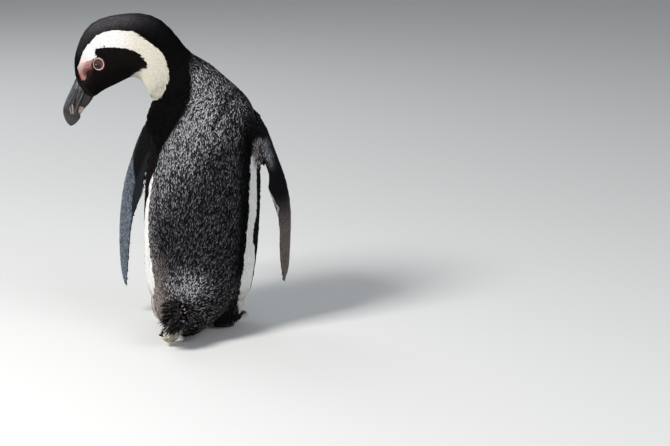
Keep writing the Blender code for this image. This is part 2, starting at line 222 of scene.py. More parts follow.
def dent(ahead, up, start, end, half_width):
    """How near each place is to a line on the head's side: 1 on it, 0 from half_width away on."""
    start, end = np.array(start, float), np.array(end, float)
    way = end - start
    share = np.clip(((ahead - start[0]) * way[0] + (up - start[1]) * way[1]) / (way @ way), 0, 1)
    away = np.hypot(ahead - start[0] - share * way[0], up - start[1] - share * way[1])
    return 1 - smooth_step(0, half_width, away)


# %% Spline and nearest place on the body
def spline(table, places):
    """Rows read at fractional places, on a natural cubic through all of them."""
    table = np.asarray(table, float)
    n = len(table)
    bend = np.zeros_like(table)
    system = np.diag(np.full(n - 2, 4.0)) + np.diag(np.ones(n - 3), 1) + np.diag(np.ones(n - 3), -1)
    bend[1:-1] = np.linalg.solve(system, 6 * (table[2:] - 2 * table[1:-1] + table[:-2]))
    i = np.clip(np.asarray(places, float).astype(int), 0, n - 2)
    t = (np.asarray(places, float) - i)[:, None]
    cubic = ((1 - t) ** 3 - (1 - t)) * bend[i] + (t**3 - t) * bend[i + 1]
    return (1 - t) * table[i] + t * table[i + 1] + cubic / 6


MAP_ALONG = np.linspace(0, 19, 229)
MAP_ROUND = np.radians(np.arange(-180, 180, 3.0))
ovals = spline(SPINE, MAP_ALONG)
body_map = (
    ovals[:, None, :3]
    + np.cos(MAP_ROUND)[None, :, None] * ovals[:, None, 3:6]
    + np.sin(MAP_ROUND)[None, :, None] * ovals[:, None, 6:]
)
body_map = placed(body_map)
map_forward = np.gradient(body_map, MAP_ALONG, axis=0)
map_sideways = (np.roll(body_map, -1, 1) - np.roll(body_map, 1, 1)) / math.radians(6)
map_tree = KDTree(body_map.shape[0] * body_map.shape[1])
for index, point in enumerate(body_map.reshape(-1, 3)):
    map_tree.insert(point, index)
map_tree.balance()


def on_body(points):
    """Each point's place along the spine, its angle round the body, and the way forward there."""
    nearest = np.array([map_tree.find(p)[1] for p in points])
    row, column = np.divmod(nearest, len(MAP_ROUND))
    ahead, side = map_forward[row, column], map_sideways[row, column]
    off = points - body_map[row, column]
    ahead_square, side_square = (ahead**2).sum(1), (side**2).sum(1)
    along = MAP_ALONG[row] + np.clip((off * ahead).sum(1) / ahead_square, -0.06, 0.06)
    around = np.degrees(MAP_ROUND[column]) + np.degrees(
        np.clip((off * side).sum(1) / side_square, -0.04, 0.04)
    )
    return along, (around + 180) % 360 - 180, unit(ahead)


print("the body's map has", len(MAP_ALONG) * len(MAP_ROUND), "places")

# %% [markdown]
# ## A map of the flippers
# A flipper is a flat stiff blade. Its map is the middle line from the shoulder to the tip, the way
# to the leading edge, and which face a place is on. The middle line is a spline through eight
# places.

# %% The flippers' middle lines, in millimetres
FLIPPER_LINES = {
    "flipper_right": [
        (-49.5, -46, 250), (-61, -52, 226), (-71.5, -53, 197), (-83.5, -50, 166),
        (-93.5, -47, 130), (-94.6, -44, 97), (-95, -42, 68), (-94.5, -41, 54),
    ],
    "flipper_left": [
        (53, -46, 247), (73, -48, 222), (85.5, -46, 190), (95, -44, 160), (101, -41.5, 125),
        (103.5, -39, 90), (103.5, -36.5, 57), (102, -35, 40),
    ],
}
# Which side each is on, and by how many degrees its leading edge stands out from straight ahead at
# each of the eight places.
FLIPPER_TURNS = {
    "flipper_right": (-1, (13, 13, 12, 13, 5, 6, 9, 9)),
    "flipper_left": (1, (34,) * 8),
}
FLIPPER_WIDTHS = np.array((14, 19.5, 24, 24.5, 22, 18.5, 12.5, 4))  # middle line to edge
STEPS_PER_PLACE = 20


def line_at(line, along):
    """Reads a line of (place, value) pairs at other places."""
    return np.interp(along, [a for a, _ in line], [r for _, r in line])


def on_flipper(points, name):
    """Each point's place from shoulder (0) to tip (7), its place across (1 at the leading edge,
    -1 at the hind one), the way to the tip there and the way out of the outer face."""
    places = np.linspace(0, 7, 7 * STEPS_PER_PLACE + 1)
    line = placed(spline(FLIPPER_LINES[name], places))
    side, turns = FLIPPER_TURNS[name]
    turn = np.radians(np.interp(places, np.arange(8), turns))
    leading = np.column_stack([side * np.sin(turn), -np.cos(turn), 0 * turn])
    towards_tip = unit(np.gradient(line, axis=0))
    wide = unit(leading - towards_tip * (towards_tip * leading).sum(1)[:, None])
    outward = np.cross(wide, towards_tip) * side
    nearest = np.argmin(((points[:, None, :] - line[None, ::4]) ** 2).sum(2), axis=1) * 4
    off = points - line[nearest]
    place_length = np.linalg.norm(line[1] - line[0]) * STEPS_PER_PLACE
    along = places[nearest] + (off * towards_tip[nearest]).sum(1) / place_length
    across = (off * wide[nearest]).sum(1) / (
        np.interp(places[nearest], np.arange(8), FLIPPER_WIDTHS) * MM
    )
    return along, across, towards_tip[nearest], outward[nearest]


# %% [markdown]
# ## The skin
# On the real bird one skin covers trunk, neck, head, legs, feet and flippers. The parts could be
# kept apart, but then every joint would show as a step under the feathers. Here copies of them are
# swollen a little so that they touch, joined, and remeshed: the remesh walks over the whole shape
# in small cubes and leaves one closed surface. Smoothing takes the cube steps out again. Then the
# skin sinks in by the depth of the coat, so that the feathers' tips lie where the parts' surface
# was.
#
# Two things are easier to shape before the remesh than after it. The hind edge of each flipper
# curves in at the elbow, so its points are shifted there. And two soft lumps, a root for the tail
# and the tuft of down under it, are spheres that simply join the others.

# %% Swell, join and remesh
FLESH = [
    "trunk", "neck", "head", "leg_left", "leg_right", "foot_left", "foot_right",
    "flipper_left", "flipper_right",
]
SWELL = 0.6 * MM
SKIN_CUBE = 1.9 * MM
# The hind edges' curve near the elbow: place down the blade, millimetres towards the bird's right.
HIND_SHIFTS = {
    "flipper_left": [
        (1.3, 0), (1.6, 3), (2.0, 4.5), (2.4, 6.5), (2.8, 8.5), (3.1, 8.5), (3.4, 5.5), (3.65, 2),
        (4.2, 0),
    ],
    "flipper_right": [(1.4, 0), (1.75, 4), (2.0, 6.5), (2.25, 8), (2.5, 6), (2.8, 1), (3.0, 0)],
}
HIND_WAY = (-0.95, -0.3, 0.0)
# The tail's root and the tuft under it: the middle and the three half sizes of each.
SOFT_LUMPS = [((-4, 96, 39), (16, 24, 22)), ((9, 99, 14), (11, 14, 12.5))]
flesh_copies = []
for node in FLESH:
    copy = welded_copy(node, "flesh_" + node)
    apply_modifier(copy, "DISPLACE", strength=SWELL, mid_level=0.0)
    if node in HIND_SHIFTS:
        points = points_of(copy)
        down_blade, across, _, _ = on_flipper(points, node)
        shift = line_at(HIND_SHIFTS[node], down_blade) * smooth_step(0.0, -0.95, across)
        move_points(copy, points + np.outer(shift * MM, HIND_WAY))
    flesh_copies.append(copy)
for middle, half_sizes in SOFT_LUMPS:
    deselect()
    bpy.ops.mesh.primitive_uv_sphere_add(
        segments=24, ring_count=16, radius=1.0, location=placed(middle)
    )
    lump = bpy.context.active_object
    lump.scale = [half_size * MM for half_size in half_sizes]
    bpy.ops.object.transform_apply(location=True, rotation=False, scale=True)
    flesh_copies.append(lump)
skin = join(flesh_copies, "skin")
apply_modifier(skin, "REMESH", mode="VOXEL", voxel_size=SKIN_CUBE, adaptivity=0.0)
print("remeshed skin:", triangles(skin), "triangles")

# %% [markdown]
# The skin has to know which part each place came from, because the coat's depth, the lie of the
# feathers and the colours differ between them. The nearest CAD part answers that.

# %% Which part each place belongs to
PARTS = [*FLESH, "tail"]
part_trees = []
for node in PARTS:
    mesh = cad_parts[node].data
    mesh.calc_loop_triangles()
    corners = [t.vertices for t in mesh.loop_triangles]
    part_trees.append(BVHTree.FromPolygons([v.co for v in mesh.vertices], corners))


def part_of(points):
    """The number of the CAD part whose surface is nearest to each point."""
    distances = np.array([[tree.find_nearest(p)[3] for p in points] for tree in part_trees])
    distances[-1] += 2 * MM  # the tail's quills only claim what lies well among them
    return distances.argmin(axis=0)


def belongs(parts, *names):
    """Which places belong to one of the named parts."""
    return np.isin(parts, [PARTS.index(name) for name in names])


skin_parts = part_of(points_of(skin))
# Millimetres of coat over each part.
COAT_DEPTH = {
    "trunk": 2.2, "neck": 1.7, "head": 1.0, "leg_left": 1.5, "leg_right": 1.5, "foot_left": 0.0,
    "foot_right": 0.0, "flipper_left": 0.35, "flipper_right": 0.35, "tail": 2.0,
}
for node in PARTS:
    print(f"{node}: {belongs(skin_parts, node).sum()} points")

# %% [markdown]
# A modifier can be held to a vertex group, and to each vertex's weight in it. So the trunk is
# smoothed more than the thin limbs, the shoulder joints most, and the same Displace sinks every
# place by its own depth.

# %% Smooth the skin and sink it by the coat's depth
def mark(piece, name, chosen, weight=1.0):
    """Puts the chosen vertices into a vertex group."""
    group = piece.vertex_groups.get(name) or piece.vertex_groups.new(name=name)
    group.add([int(i) for i in np.flatnonzero(chosen)], float(weight), "REPLACE")


DEEPEST = max(COAT_DEPTH.values()) + SWELL / MM
JOINT_REACH = {"flipper_right": 30, "flipper_left": 26}
points = points_of(skin)
depths = np.array([COAT_DEPTH[node] for node in PARTS])[skin_parts]
torso = belongs(skin_parts, "trunk", "neck", "head")
# no step from part to part
depths[torso] = np.interp(on_body(points[torso])[0], (7, 9, 12, 16), (2.2, 1.7, 1.4, 0.9))
for depth in np.unique(depths.round(2)):
    mark(skin, "depth", depths.round(2) == depth, (depth + SWELL / MM) / DEEPEST)
limb = belongs(skin_parts, "flipper_left", "flipper_right", "foot_left", "foot_right")
mark(skin, "body", ~limb)
mark(skin, "limb", limb)
for name, reach in JOINT_REACH.items():
    joint = placed(FLIPPER_LINES[name][0])
    mark(skin, "shoulder_joint", np.linalg.norm(points - joint, axis=1) < reach * MM)
apply_modifier(skin, "SMOOTH", factor=0.5, iterations=30, vertex_group="shoulder_joint")
apply_modifier(skin, "SMOOTH", factor=0.5, iterations=10, vertex_group="body")
apply_modifier(skin, "SMOOTH", factor=0.4, iterations=3, vertex_group="limb")
apply_modifier(skin, "DISPLACE", strength=-DEEPEST * MM, mid_level=0.0, vertex_group="depth")
apply_modifier(skin, "SMOOTH", factor=0.5, iterations=4, vertex_group="body")

# %% Last touches: a narrow right elbow, a flat right shoulder and flat soles
ELBOW_WAY, ELBOW_DEPTH = (0.92, 0.38, 0.0), 1.5 * MM
SHOULDER_BUMP, BUMP_REACH, BUMP_DEPTH = (-61, -47, 253), 10 * MM, 3.2 * MM
points = points_of(skin)
blade = belongs(part_of(points), "flipper_right")
down_blade, across, _, _ = on_flipper(points[blade], "flipper_right")
narrow = smooth_step(1.5, 2.1, down_blade) * smooth_step(3.4, 2.7, down_blade)
narrow = narrow * smooth_step(0.1, -0.7, across)
points[blade] -= np.outer(narrow * ELBOW_DEPTH, ELBOW_WAY)
bump = np.exp(-((np.linalg.norm(points - placed(SHOULDER_BUMP), axis=1) / BUMP_REACH) ** 2))
points -= normals_of(skin) * (bump * BUMP_DEPTH)[:, None]
points[:, 2] = np.where(points[:, 2] < 0.5 * MM, 0.0, points[:, 2])
move_points(skin, points)
shade_smooth(skin)
print("skin:", triangles(skin), "triangles, lowest point", points[:, 2].min())

# %% [markdown]
# The face is bare skin in places, seen from close by, so its part of the skin gets a finer mesh.

# %% A finer mesh on the face
def pick(piece, test=lambda co: True):
    """Enters edit mode with only the vertices selected that pass the test, or with all of them."""
    choose(piece)
    bpy.ops.object.mode_set(mode="EDIT")
    bpy.ops.mesh.select_mode(type="VERT")
    bpy.ops.mesh.select_all(action="DESELECT")
    bpy.ops.object.mode_set(mode="OBJECT")
    for vertex in piece.data.vertices:
        vertex.select = bool(test(vertex.co))
    bpy.ops.object.mode_set(mode="EDIT")


def turn_outwards(piece):
    """Makes every face of a piece point outwards."""
    pick(piece)
    bpy.ops.mesh.normals_make_consistent(inside=False)
    bpy.ops.object.mode_set(mode="OBJECT")


def on_cheek(co):
    """Whether a place is on a side of the face, near enough to need a finer mesh."""
    off = co - face_middle
    return off.length < 34 * MM and abs(off.dot(Vector(HEAD_LEFT))) > 9 * MM


face_middle = Vector(placed(HEAD_MIDDLE + HEAD_AHEAD * 4))
pick(skin, on_cheek)
bpy.ops.mesh.subdivide(number_cuts=1, smoothness=0.4)
bpy.ops.object.mode_set(mode="OBJECT")
print("skin with a finer face:", triangles(skin), "triangles")

# %% [markdown]
# Every feather will need a small patch of a flat picture of the coat. Unwrapping the skin gives
# that picture, laid out on the animal's own shape.

# %% Unwrap the skin
choose(skin)
bpy.ops.object.mode_set(mode="EDIT")
bpy.ops.mesh.select_all(action="SELECT")
bpy.ops.uv.smart_project(angle_limit=math.radians(75), island_margin=0.002)
bpy.ops.object.mode_set(mode="OBJECT")
skin.data.uv_layers[0].name = "OFBake"
skin_uv = np.zeros(len(skin.data.loops) * 2)
skin.data.uv_layers["OFBake"].data.foreach_get("uv", skin_uv)
skin_uv = skin_uv.reshape(-1, 2)
print("unwrapped, corners from", skin_uv.min(0).round(3), "to", skin_uv.max(0).round(3))

# %% [markdown]
# ## The markings
# An African penguin is black above and white below, with a white band from the bill round the cheek
# to the throat, a black mask inside it, bare pink skin over the eye, a black horseshoe across the
# breast and down the flanks, and a white stripe between the horseshoe and the grey back. Each
# border is drawn once on the body's map as a line of places (along the spine, degrees round), so
# skin and feathers share it.

# %% Borders on the body's map
WHITE_BAND = [
    (17.45, 53), (17.27, 51), (16.46, 50), (15.8, 53), (15.36, 50), (14.76, 50), (14.09, 52),
    (13.56, 56), (13.12, 57), (12.71, 64), (12.28, 69), (11.69, 72), (11.28, 68), (10.82, 71),
    (10.33, 77), (9.91, 83), (9.57, 91), (8.93, 96), (8.23, 91), (7.99, 93), (8.0, 105),
    (7.6, 122), (7.2, 129), (6.9, 135), (6.9, 190), (13.3, 190), (12.85, 159), (12.44, 140),
    (11.95, 127), (11.65, 117), (11.73, 109), (11.98, 104), (12.45, 98), (12.97, 93), (13.63, 88),
    (14.17, 84), (14.68, 81), (15.25, 76), (15.73, 70), (15.82, 76), (15.85, 82), (15.85, 87),
    (16.1, 81), (16.69, 78), (17.17, 67), (17.81, 53),
]
BARE_FACE = [
    (17.62, 49), (17.95, 45), (18.1, 54), (18.27, 62), (18.44, 73), (18.3, 82), (18.03, 89),
    (17.66, 90), (17.35, 83), (17.0, 86), (16.72, 92), (16.3, 93), (16.05, 84), (16.48, 77),
    (16.83, 69), (17.11, 62), (17.38, 53),
]
# How far round the white stripe of the flank and the black horseshoe reach, from the vent up to the
# breast. The bird leans a little, so its two sides differ: 1 is its left and -1 its right.
STRIPE_BACK = {
    1: [
        (-1, 84), (0.4, 82), (1.0, 60), (1.48, 41), (1.83, 39), (2.07, 44), (2.34, 53), (2.63, 57),
        (2.93, 60), (3.28, 62), (3.62, 63), (3.98, 62), (4.37, 60), (4.77, 57), (4.95, 56),
        (5.02, 92), (6.4, 109), (6.75, 120), (7.0, 135), (9, 135),
    ],
    -1: [
        (-1, 78), (0.2, 75), (0.37, 68), (0.58, 64), (1.14, 57), (1.93, 55), (2.1, 57), (3.57, 57),
        (3.95, 59), (4.46, 57), (4.93, 58), (5.51, 59), (5.56, 92), (6.4, 109), (6.75, 120),
        (7.0, 135), (9, 135),
    ],
}
HORSESHOE_BACK = {
    1: [
        (-1, 97), (0.8, 93), (2, 92), (3.4, 91), (3.6, 88), (3.8, 79), (4.05, 74), (4.24, 68),
        (4.47, 67), (4.77, 60.5), (4.95, 56), (5.1, 52), (5.6, 60), (6.45, 107), (6.75, 140),
        (6.85, 181),
    ],
    -1: [
        (-1, 100), (1.38, 94), (1.85, 91), (2.11, 90), (2.37, 89), (2.62, 87), (2.78, 82),
        (3.08, 72), (3.35, 71), (3.61, 73), (3.8, 76), (3.98, 77), (4.35, 76), (4.85, 74),
        (5.28, 73), (5.41, 69), (5.54, 65), (5.6, 70), (6.45, 107), (6.75, 140), (6.85, 181),
    ],
}
HORSESHOE_BELLY = {
    1: [
        (-1, 112), (0.8, 108), (2.0, 109), (4.0, 106), (5.2, 104), (5.7, 109), (6.05, 125),
        (6.2, 150), (6.25, 181),
    ],
    -1: [
        (-1, 112), (0.8, 106), (2.0, 101), (4.0, 97), (5.2, 98), (5.7, 107), (6.05, 125),
        (6.2, 150), (6.25, 181),
    ],
}
# The nape is velvet black. The left shoulder is velvet black too, as painted shadow that the head and
# neck cast on it. On the right of this line the back is speckled.
NAPE_AND_SHADOW_LINE = [
    (5.0, 44.5), (5.1, 43), (5.26, 41), (5.58, 35), (5.81, 29), (6.02, 23), (6.28, 17), (6.57, 13),
    (6.91, 11), (7.56, 22), (8.35, 36), (8.88, 40), (9.33, 39), (9.66, 35), (9.86, 24), (10.0, 14),
    (10.15, -20), (10.3, -181),
]
# The middle of the brightly speckled part of the back, a painted sheen where the light glances over
# it, and how strong it is there.
SHEEN_MIDDLE = [(4.5, 36), (5.2, 26), (5.6, 14), (6.2, 5), (6.8, 3), (7.9, 14), (8.8, 29)]
SHEEN_STRENGTH = [
    (3.5, 0), (4.3, 0.25), (5.2, 0.6), (5.9, 1), (6.6, 0.9), (7.4, 0.7), (8.2, 0.6), (9, 0.45),
    (9.8, 0.25),
]
# Where the skin folds behind the right shoulder when the neck bends down; the crease gets painted
# shade.
CREASE_SHADE = (-39, 284), (-22, 243)  # millimetres to the left and up, where it starts and ends


def inside(border, along, around):
    """Which places lie within a closed border on the map."""
    border = np.array(border, float)
    found = np.zeros(len(along), bool)
    for (a0, r0), (a1, r1) in zip(border, np.roll(border, -1, axis=0)):
        crosses = (r0 > around) != (r1 > around)
        rise = r1 - r0 if r1 != r0 else 1e-9
        found ^= crosses & (along < (a1 - a0) * (around - r0) / rise + a0)
    return found


# %% [markdown]
# The colours are the feathers' own, with light and shade painted in over them: a sheen and glints on
# the back and the crown, a highlight on the rump, the shadow that the head and neck cast on the left
# shoulder, shade on the right flank, in a crease and on the throat, and light and shadow on the left
# flipper. A black feather of this bird is never quite black: its tip is worn to a blue grey that
# catches the light, and this makes the fine speckle of the back.

# %% The colours of the coat
VELVET = np.array((0.0021, 0.0020, 0.0023))
BACK = np.array((0.0032, 0.0031, 0.0038))
BACK_TIP = np.array((0.60, 0.59, 0.63))
WARM_TIP = np.array((0.62, 0.56, 0.55))
CROWN_SHEEN = np.array((0.074, 0.066, 0.072))
WHITE = np.array((0.73, 0.73, 0.725))
CREAM = np.array((0.60, 0.56, 0.455))
DUSTY = np.array((0.40, 0.34, 0.305))
SLATE = np.array((0.11, 0.134, 0.165))
SLATE_TIP = np.array((0.25, 0.285, 0.34))
BROWNED = np.array((0.135, 0.112, 0.104))
SOOT = np.array((0.0064, 0.0046, 0.0046))
MAROON = np.array((0.045, 0.004, 0.012))
FLUSHED = np.array((0.070, 0.040, 0.036))
BLUSH = np.array((0.72, 0.44, 0.42))
FOOT_BLACK = np.array((0.035, 0.032, 0.033))
DARKEST = 0.0012  # no feather is blacker
TRUNK_TURN = 12  # degrees that the trunk's back is turned to the bird's right
# The bare face: millimetres ahead of the head's middle and up, and the colour there.
FACE_COLOURS = [
    (6.5, 21, (0.62, 0.50, 0.47)), (3, 17.3, (0.60, 0.46, 0.43)), (5.8, 16.1, (0.42, 0.34, 0.285)),
    (0, 14.2, (0.48, 0.31, 0.30)), (-3.3, 10.3, (0.43, 0.23, 0.225)),
    (-7.5, 5.2, (0.40, 0.22, 0.21)), (0.8, 9, (0.36, 0.13, 0.13)), (3, 12, (0.30, 0.125, 0.115)),
    (14, 17.5, (0.50, 0.32, 0.29)), (14, 13.5, (0.36, 0.18, 0.16)), (21, 9.5, (0.33, 0.18, 0.155)),
    (18, 10.5, (0.35, 0.19, 0.17)), (6.3, 7.7, (0.07, 0.022, 0.02)),
    (10, 9.8, (0.10, 0.035, 0.03)), (12.5, 9.5, (0.10, 0.04, 0.035)),
    (2.9, 5.3, (0.12, 0.04, 0.035)), (7.4, 11.1, (0.16, 0.06, 0.05)),
]


def blend(first, second, share):
    """Mixes two colours, or lists of them: first where share is 0, second where it is 1."""
    return first + (second - first) * np.asarray(share)[:, None]


def bare_skin(ahead, up):
    """The colour of the bare face: its named colours, mixed by how near each is."""
    spots = np.array([spot[:2] for spot in FACE_COLOURS], float)
    colours = np.array([spot[2] for spot in FACE_COLOURS])
    nearness = 1 / (np.hypot(ahead[:, None] - spots[:, 0], up[:, None] - spots[:, 1]) ** 3 + 3)
    return 0.8 * nearness @ colours / nearness.sum(1)[:, None]


# %% [markdown]
# The markings are laid over each other like coats of paint: the speckled back first, then the
# soiled feathers, the white with its black bands, the face, the tail, the flippers and the legs.
# Each is a short function that reads what is known of each place and changes the colours so far.

# %% What is known of each place
def places_of(points, parts, luck):
    """What the markings depend on, by name. luck is each feather's own number from 0 to 1."""
    along, around, _ = on_body(points)
    # the trunk's back is turned a little to the right, the neck's and the head's aren't
    swing = TRUNK_TURN * (1 - smooth_step(6, 8, along))
    swung = (around + swing + 180) % 360 - 180
    ahead, up, left = in_head(points)
    return SimpleNamespace(
        parts=parts, luck=luck, along=along, around=around, swung=swung, ahead=ahead, up=up,
        left=left, round_trunk=np.abs(swung), round_head=np.abs(around), on_head=along > 11.5,
        bird=(points - ORIGIN) / MM,
    )


# %% How worn the back is, and the light and shade painted on it
def back_wear_and_painted_light(at):
    """How many feathers have a pale tip and how pale it is, and how warm that pale is: worn tips,
    made paler and more by painted sheen and a painted rump highlight, and darker by painted shade.
    """
    along, around, swung = at.along, at.around, at.swung
    to_left, to_back, height = at.bird.T
    # painted sheen: tips are paler and more where the light glances over the upper left of the back,
    # and a little over the right shoulder
    from_middle = (around - line_at(SHEEN_MIDDLE, along)) / 19
    bright = 0.105 + 1.75 * line_at(SHEEN_STRENGTH, along) * np.exp(-0.5 * from_middle**2)
    shoulder = smooth_step(5.5, 6.1, along) * smooth_step(9.2, 8.2, along)
    bright = bright + 0.11 * shoulder * smooth_step(4, -12, around) * smooth_step(-66, -48, around)
    bright = bright * (0.15 + 0.85 * smooth_step(9.7, 8.7, along))  # the nape
    # painted shade in the crease behind the right shoulder
    bright = bright * (1 - 0.85 * dent(to_left, height, *CREASE_SHADE, 6))
    # painted shade: the right flank, turned from the light, has darker tips
    right_flank = smooth_step(-36, -52, swung) * smooth_step(6.6, 5.9, along)
    bright = bright * (1 - 0.95 * right_flank)
    beside_stripe = np.exp(-(((line_at(STRIPE_BACK[1], along) - swung) / 11) ** 2))
    beside_stripe = beside_stripe * smooth_step(2.0, 2.7, along) * smooth_step(4.9, 4.5, along)
    bright = bright + 0.75 * beside_stripe + 0.08 * smooth_step(2.6, 1.6, along)
    # painted highlight on the top of the rump, where the light falls
    rump = np.exp(-(((to_left + 6) / 17) ** 2) - ((height - 66) / 12) ** 2)
    rump = rump * (to_back > 55)
    bright = bright + 1.15 * rump
    # painted shade: the right shoulder, turned from the light, is darker, with little speckle
    dull = smooth_step(-44, -56, around) * smooth_step(5.3, 5.7, along)
    dull = dull * smooth_step(6.9, 6.5, along)
    bright = bright * (1 - 0.6 * dull)
    # the plumage is patchy, as it is some weeks before a moult
    patches = np.sin(to_left * 0.31 + 1.7 * np.sin(height * 0.17))
    patches = patches * np.sin(height * 0.23 + 0.8)
    warm = np.clip(beside_stripe + smooth_step(2.4, 1.0, along) * 0.5, 0, 1)
    return bright * (1 + 0.22 * patches), warm


# %% The crown and the whole dark upper side
def colour_crown(at):
    """Velvet black, with a painted brownish sheen on the two upper sides of the head."""
    # painted sheen on the crown
    glow = np.exp(-(((at.along - 14.5) / 1.5) ** 2) - ((at.round_head - 26) / 20) ** 2)
    cap = smooth_step(11.5, 13.5, at.along) * smooth_step(17.6, 16.6, at.along)
    cap = cap * smooth_step(62, 40, at.round_head)
    glow = glow + 0.2 * cap
    velvet = VELVET * (0.9 + 0.5 * at.luck)[:, None]
    return blend(velvet, CROWN_SHEEN, np.clip(glow, 0, 1) * (0.5 + 0.5 * at.luck))


def colour_back(at):
    """Body and tip colours of the dark upper side, with its painted sheen, glints and shade. A high
    power of luck keeps bright tips few, as scattered painted glints.
    """
    bright, warm = back_wear_and_painted_light(at)
    body = BACK * (0.8 + 2.2 * bright)[:, None]
    worn = blend(BACK_TIP, WARM_TIP, warm)
    tip = blend(body, worn, np.clip(bright * (0.06 + 3.2 * at.luck**3.1), 0, 1))
    # no speckle left of the line: the black nape, and the painted shadow of head and neck on the left
    # shoulder
    speckled = smooth_step(-3, 4, line_at(NAPE_AND_SHADOW_LINE, at.along) - at.around)
    speckled = np.where(at.along > 10.3, 0, np.where(at.along < 5.0, 1, speckled))
    crown = colour_crown(at)
    return blend(crown, body, speckled), blend(crown * 1.35, tip, speckled)


# %% The flippers' two faces
# Where the painted shadow on the left flipper's outer face ends and its lit slate starts: place down
# the blade and place across it.
FLIPPER_SHADOW_EDGE = [
    (1.6, 1.4), (2.0, 0.5), (2.27, 0.08), (2.5, -0.17), (2.77, -0.42), (3.11, -0.68), (3.5, -0.8),
    (3.9, -1.4),
]
# The thin pale line along each hind edge: millimetres to the left and up.
PALE_EDGES = {
    "flipper_left": [
        (69, 186), (72.4, 169), (75.7, 158), (78.2, 150), (81.7, 140), (85, 132), (86, 120),
        (86.5, 106),
    ],
    "flipper_right": [(-79, 163), (-80.7, 160), (-83.8, 153), (-86.9, 147), (-90, 141), (-90, 134)],
}


def colour_flipper(name, points, luck):
    """Slate outside and mottled white inside, with a thin pale hind edge. The left one's outer face
    is painted light and shadow.
    """
    down_blade, across, _, outward = on_flipper(points, name)
    line = placed(spline(FLIPPER_LINES[name], np.clip(down_blade, 0, 7)))
    outer = ((points - line) * outward).sum(1) > 0
    if name == "flipper_left":
        # painted light and shadow: the lit part of the outer face is slate, its upper part and hind
        # side lie in painted shadow, and the leading edge is painted a little lit
        lit = smooth_step(-0.08, 0.15, across - line_at(FLIPPER_SHADOW_EDGE, down_blade))
        lit = lit * (0.5 + 0.5 * smooth_step(1.9, 3.8, down_blade))
        lit = lit + 0.1 * smooth_step(0.1, 0.6, across)
        face = blend(VELVET * 1.8, SLATE, lit * (0.35 + 0.9 * luck))
        tip = blend(face * 1.2, SLATE_TIP, np.clip(lit * 2.4 * luck**2, 0, 1))
        face[~outer], tip[~outer] = SLATE * 0.1, SLATE * 0.16
    else:
        shoulder = smooth_step(1.15, 1.45, down_blade) * smooth_step(2.6, 1.9, down_blade)
        shoulder = shoulder * smooth_step(0.6, -0.4, across)
        worn = smooth_step(3.3, 4.6, down_blade)
        face = blend(BACK * 1.3, BROWNED, worn * (0.5 + 0.5 * luck))
        tip = blend(face * 1.6, BROWNED * 1.7, worn * luck)
        face = blend(face, BACK_TIP, 0.05 * shoulder)
        tip = blend(tip, BACK_TIP, np.clip(shoulder * (0.25 + 1.6 * luck**1.5), 0, 1))
        strip = worn * smooth_step(0.45, 0.7, across)
        face, tip = blend(face, SLATE, strip * 0.8), blend(tip, SLATE_TIP, strip * 0.7)
    # white patches on the inner face
    mottle = np.sin(down_blade * 5.1 + across * 4) + 2.2 * (luck - 0.5) + 2.0 * np.abs(across)
    pale = ~outer & (mottle < 1.6) & (across > -0.25) & (down_blade > 2.2)
    face[pale], tip[pale] = WHITE * 0.72, WHITE * 0.86
    left, _, height = ((points - ORIGIN) / MM).T
    edge = PALE_EDGES[name]
    on_edge = np.max([dent(left, height, *pair, 1.0) for pair in zip(edge, edge[1:])], axis=0) > 0.3
    face[on_edge], tip[on_edge] = WHITE * 0.4, WHITE * 0.7
    return face, tip


# %% Soiled and worn feathers
def soil(at, body, tip):
    """Low on its left the bird props itself on the ground, and its feathers are dusty brown."""
    to_left, to_back, _ = at.bird.T
    soiled = smooth_step(9, 34, to_left) * smooth_step(2.9, 1.1, at.along) * (to_back > 0)
    body = blend(body, DUSTY * 0.6, soiled * (0.5 + 0.5 * at.luck))
    return body, blend(tip, DUSTY * 1.5, np.clip(soiled * (0.3 + at.luck), 0, 1))


def wear_joint(at, body, tip):
    """The right flipper rubs on the trunk and wears the feathers below its shoulder joint."""
    to_left, to_back, height = at.bird.T
    joint = smooth_step(-60, -63, to_left) * smooth_step(-12, -19, to_back)
    joint = joint * smooth_step(227, 219, height) * smooth_step(186, 196, height)
    joint = joint * belongs(at.parts, "trunk")
    body = blend(body, BACK * 2, joint)
    return body, blend(tip, WARM_TIP, np.clip(joint * (0.1 + 1.5 * at.luck**2.4), 0, 1))


# %% The white feathers and the black bands
RAGGED = 2.2  # degrees that a border wanders from feather to feather
SPOT_LUCK = 0.989  # only feathers with more luck than this are dark spots on the belly


def pale_feathers(at):
    """White, creamy on the neck, with painted shade on the throat under the head, dusty near the
    ground and blushed over the eye.
    """
    along = at.along
    creamed = smooth_step(14.6, 12.4, along) * smooth_step(6.5, 8.5, along) * 0.85
    pale = blend(WHITE, CREAM, np.maximum(creamed, 0.06))
    dusty = smooth_step(1.9, 0.7, along) * (at.round_trunk < 100) * 0.8
    pale = blend(pale, DUSTY, dusty * (0.5 + 0.5 * at.luck))
    # painted shade on the throat under the bent head
    throat = smooth_step(12.2, 9.6, along) * smooth_step(7, 8.5, along)
    pale = pale * (1 - 0.26 * throat)[:, None]
    blush = dent(at.ahead, at.up, (-3, 16.5), (6, 20.5), 6.5)
    return blend(pale, BLUSH, blush * (at.on_head & (np.abs(at.left) > 10)) * 0.5)


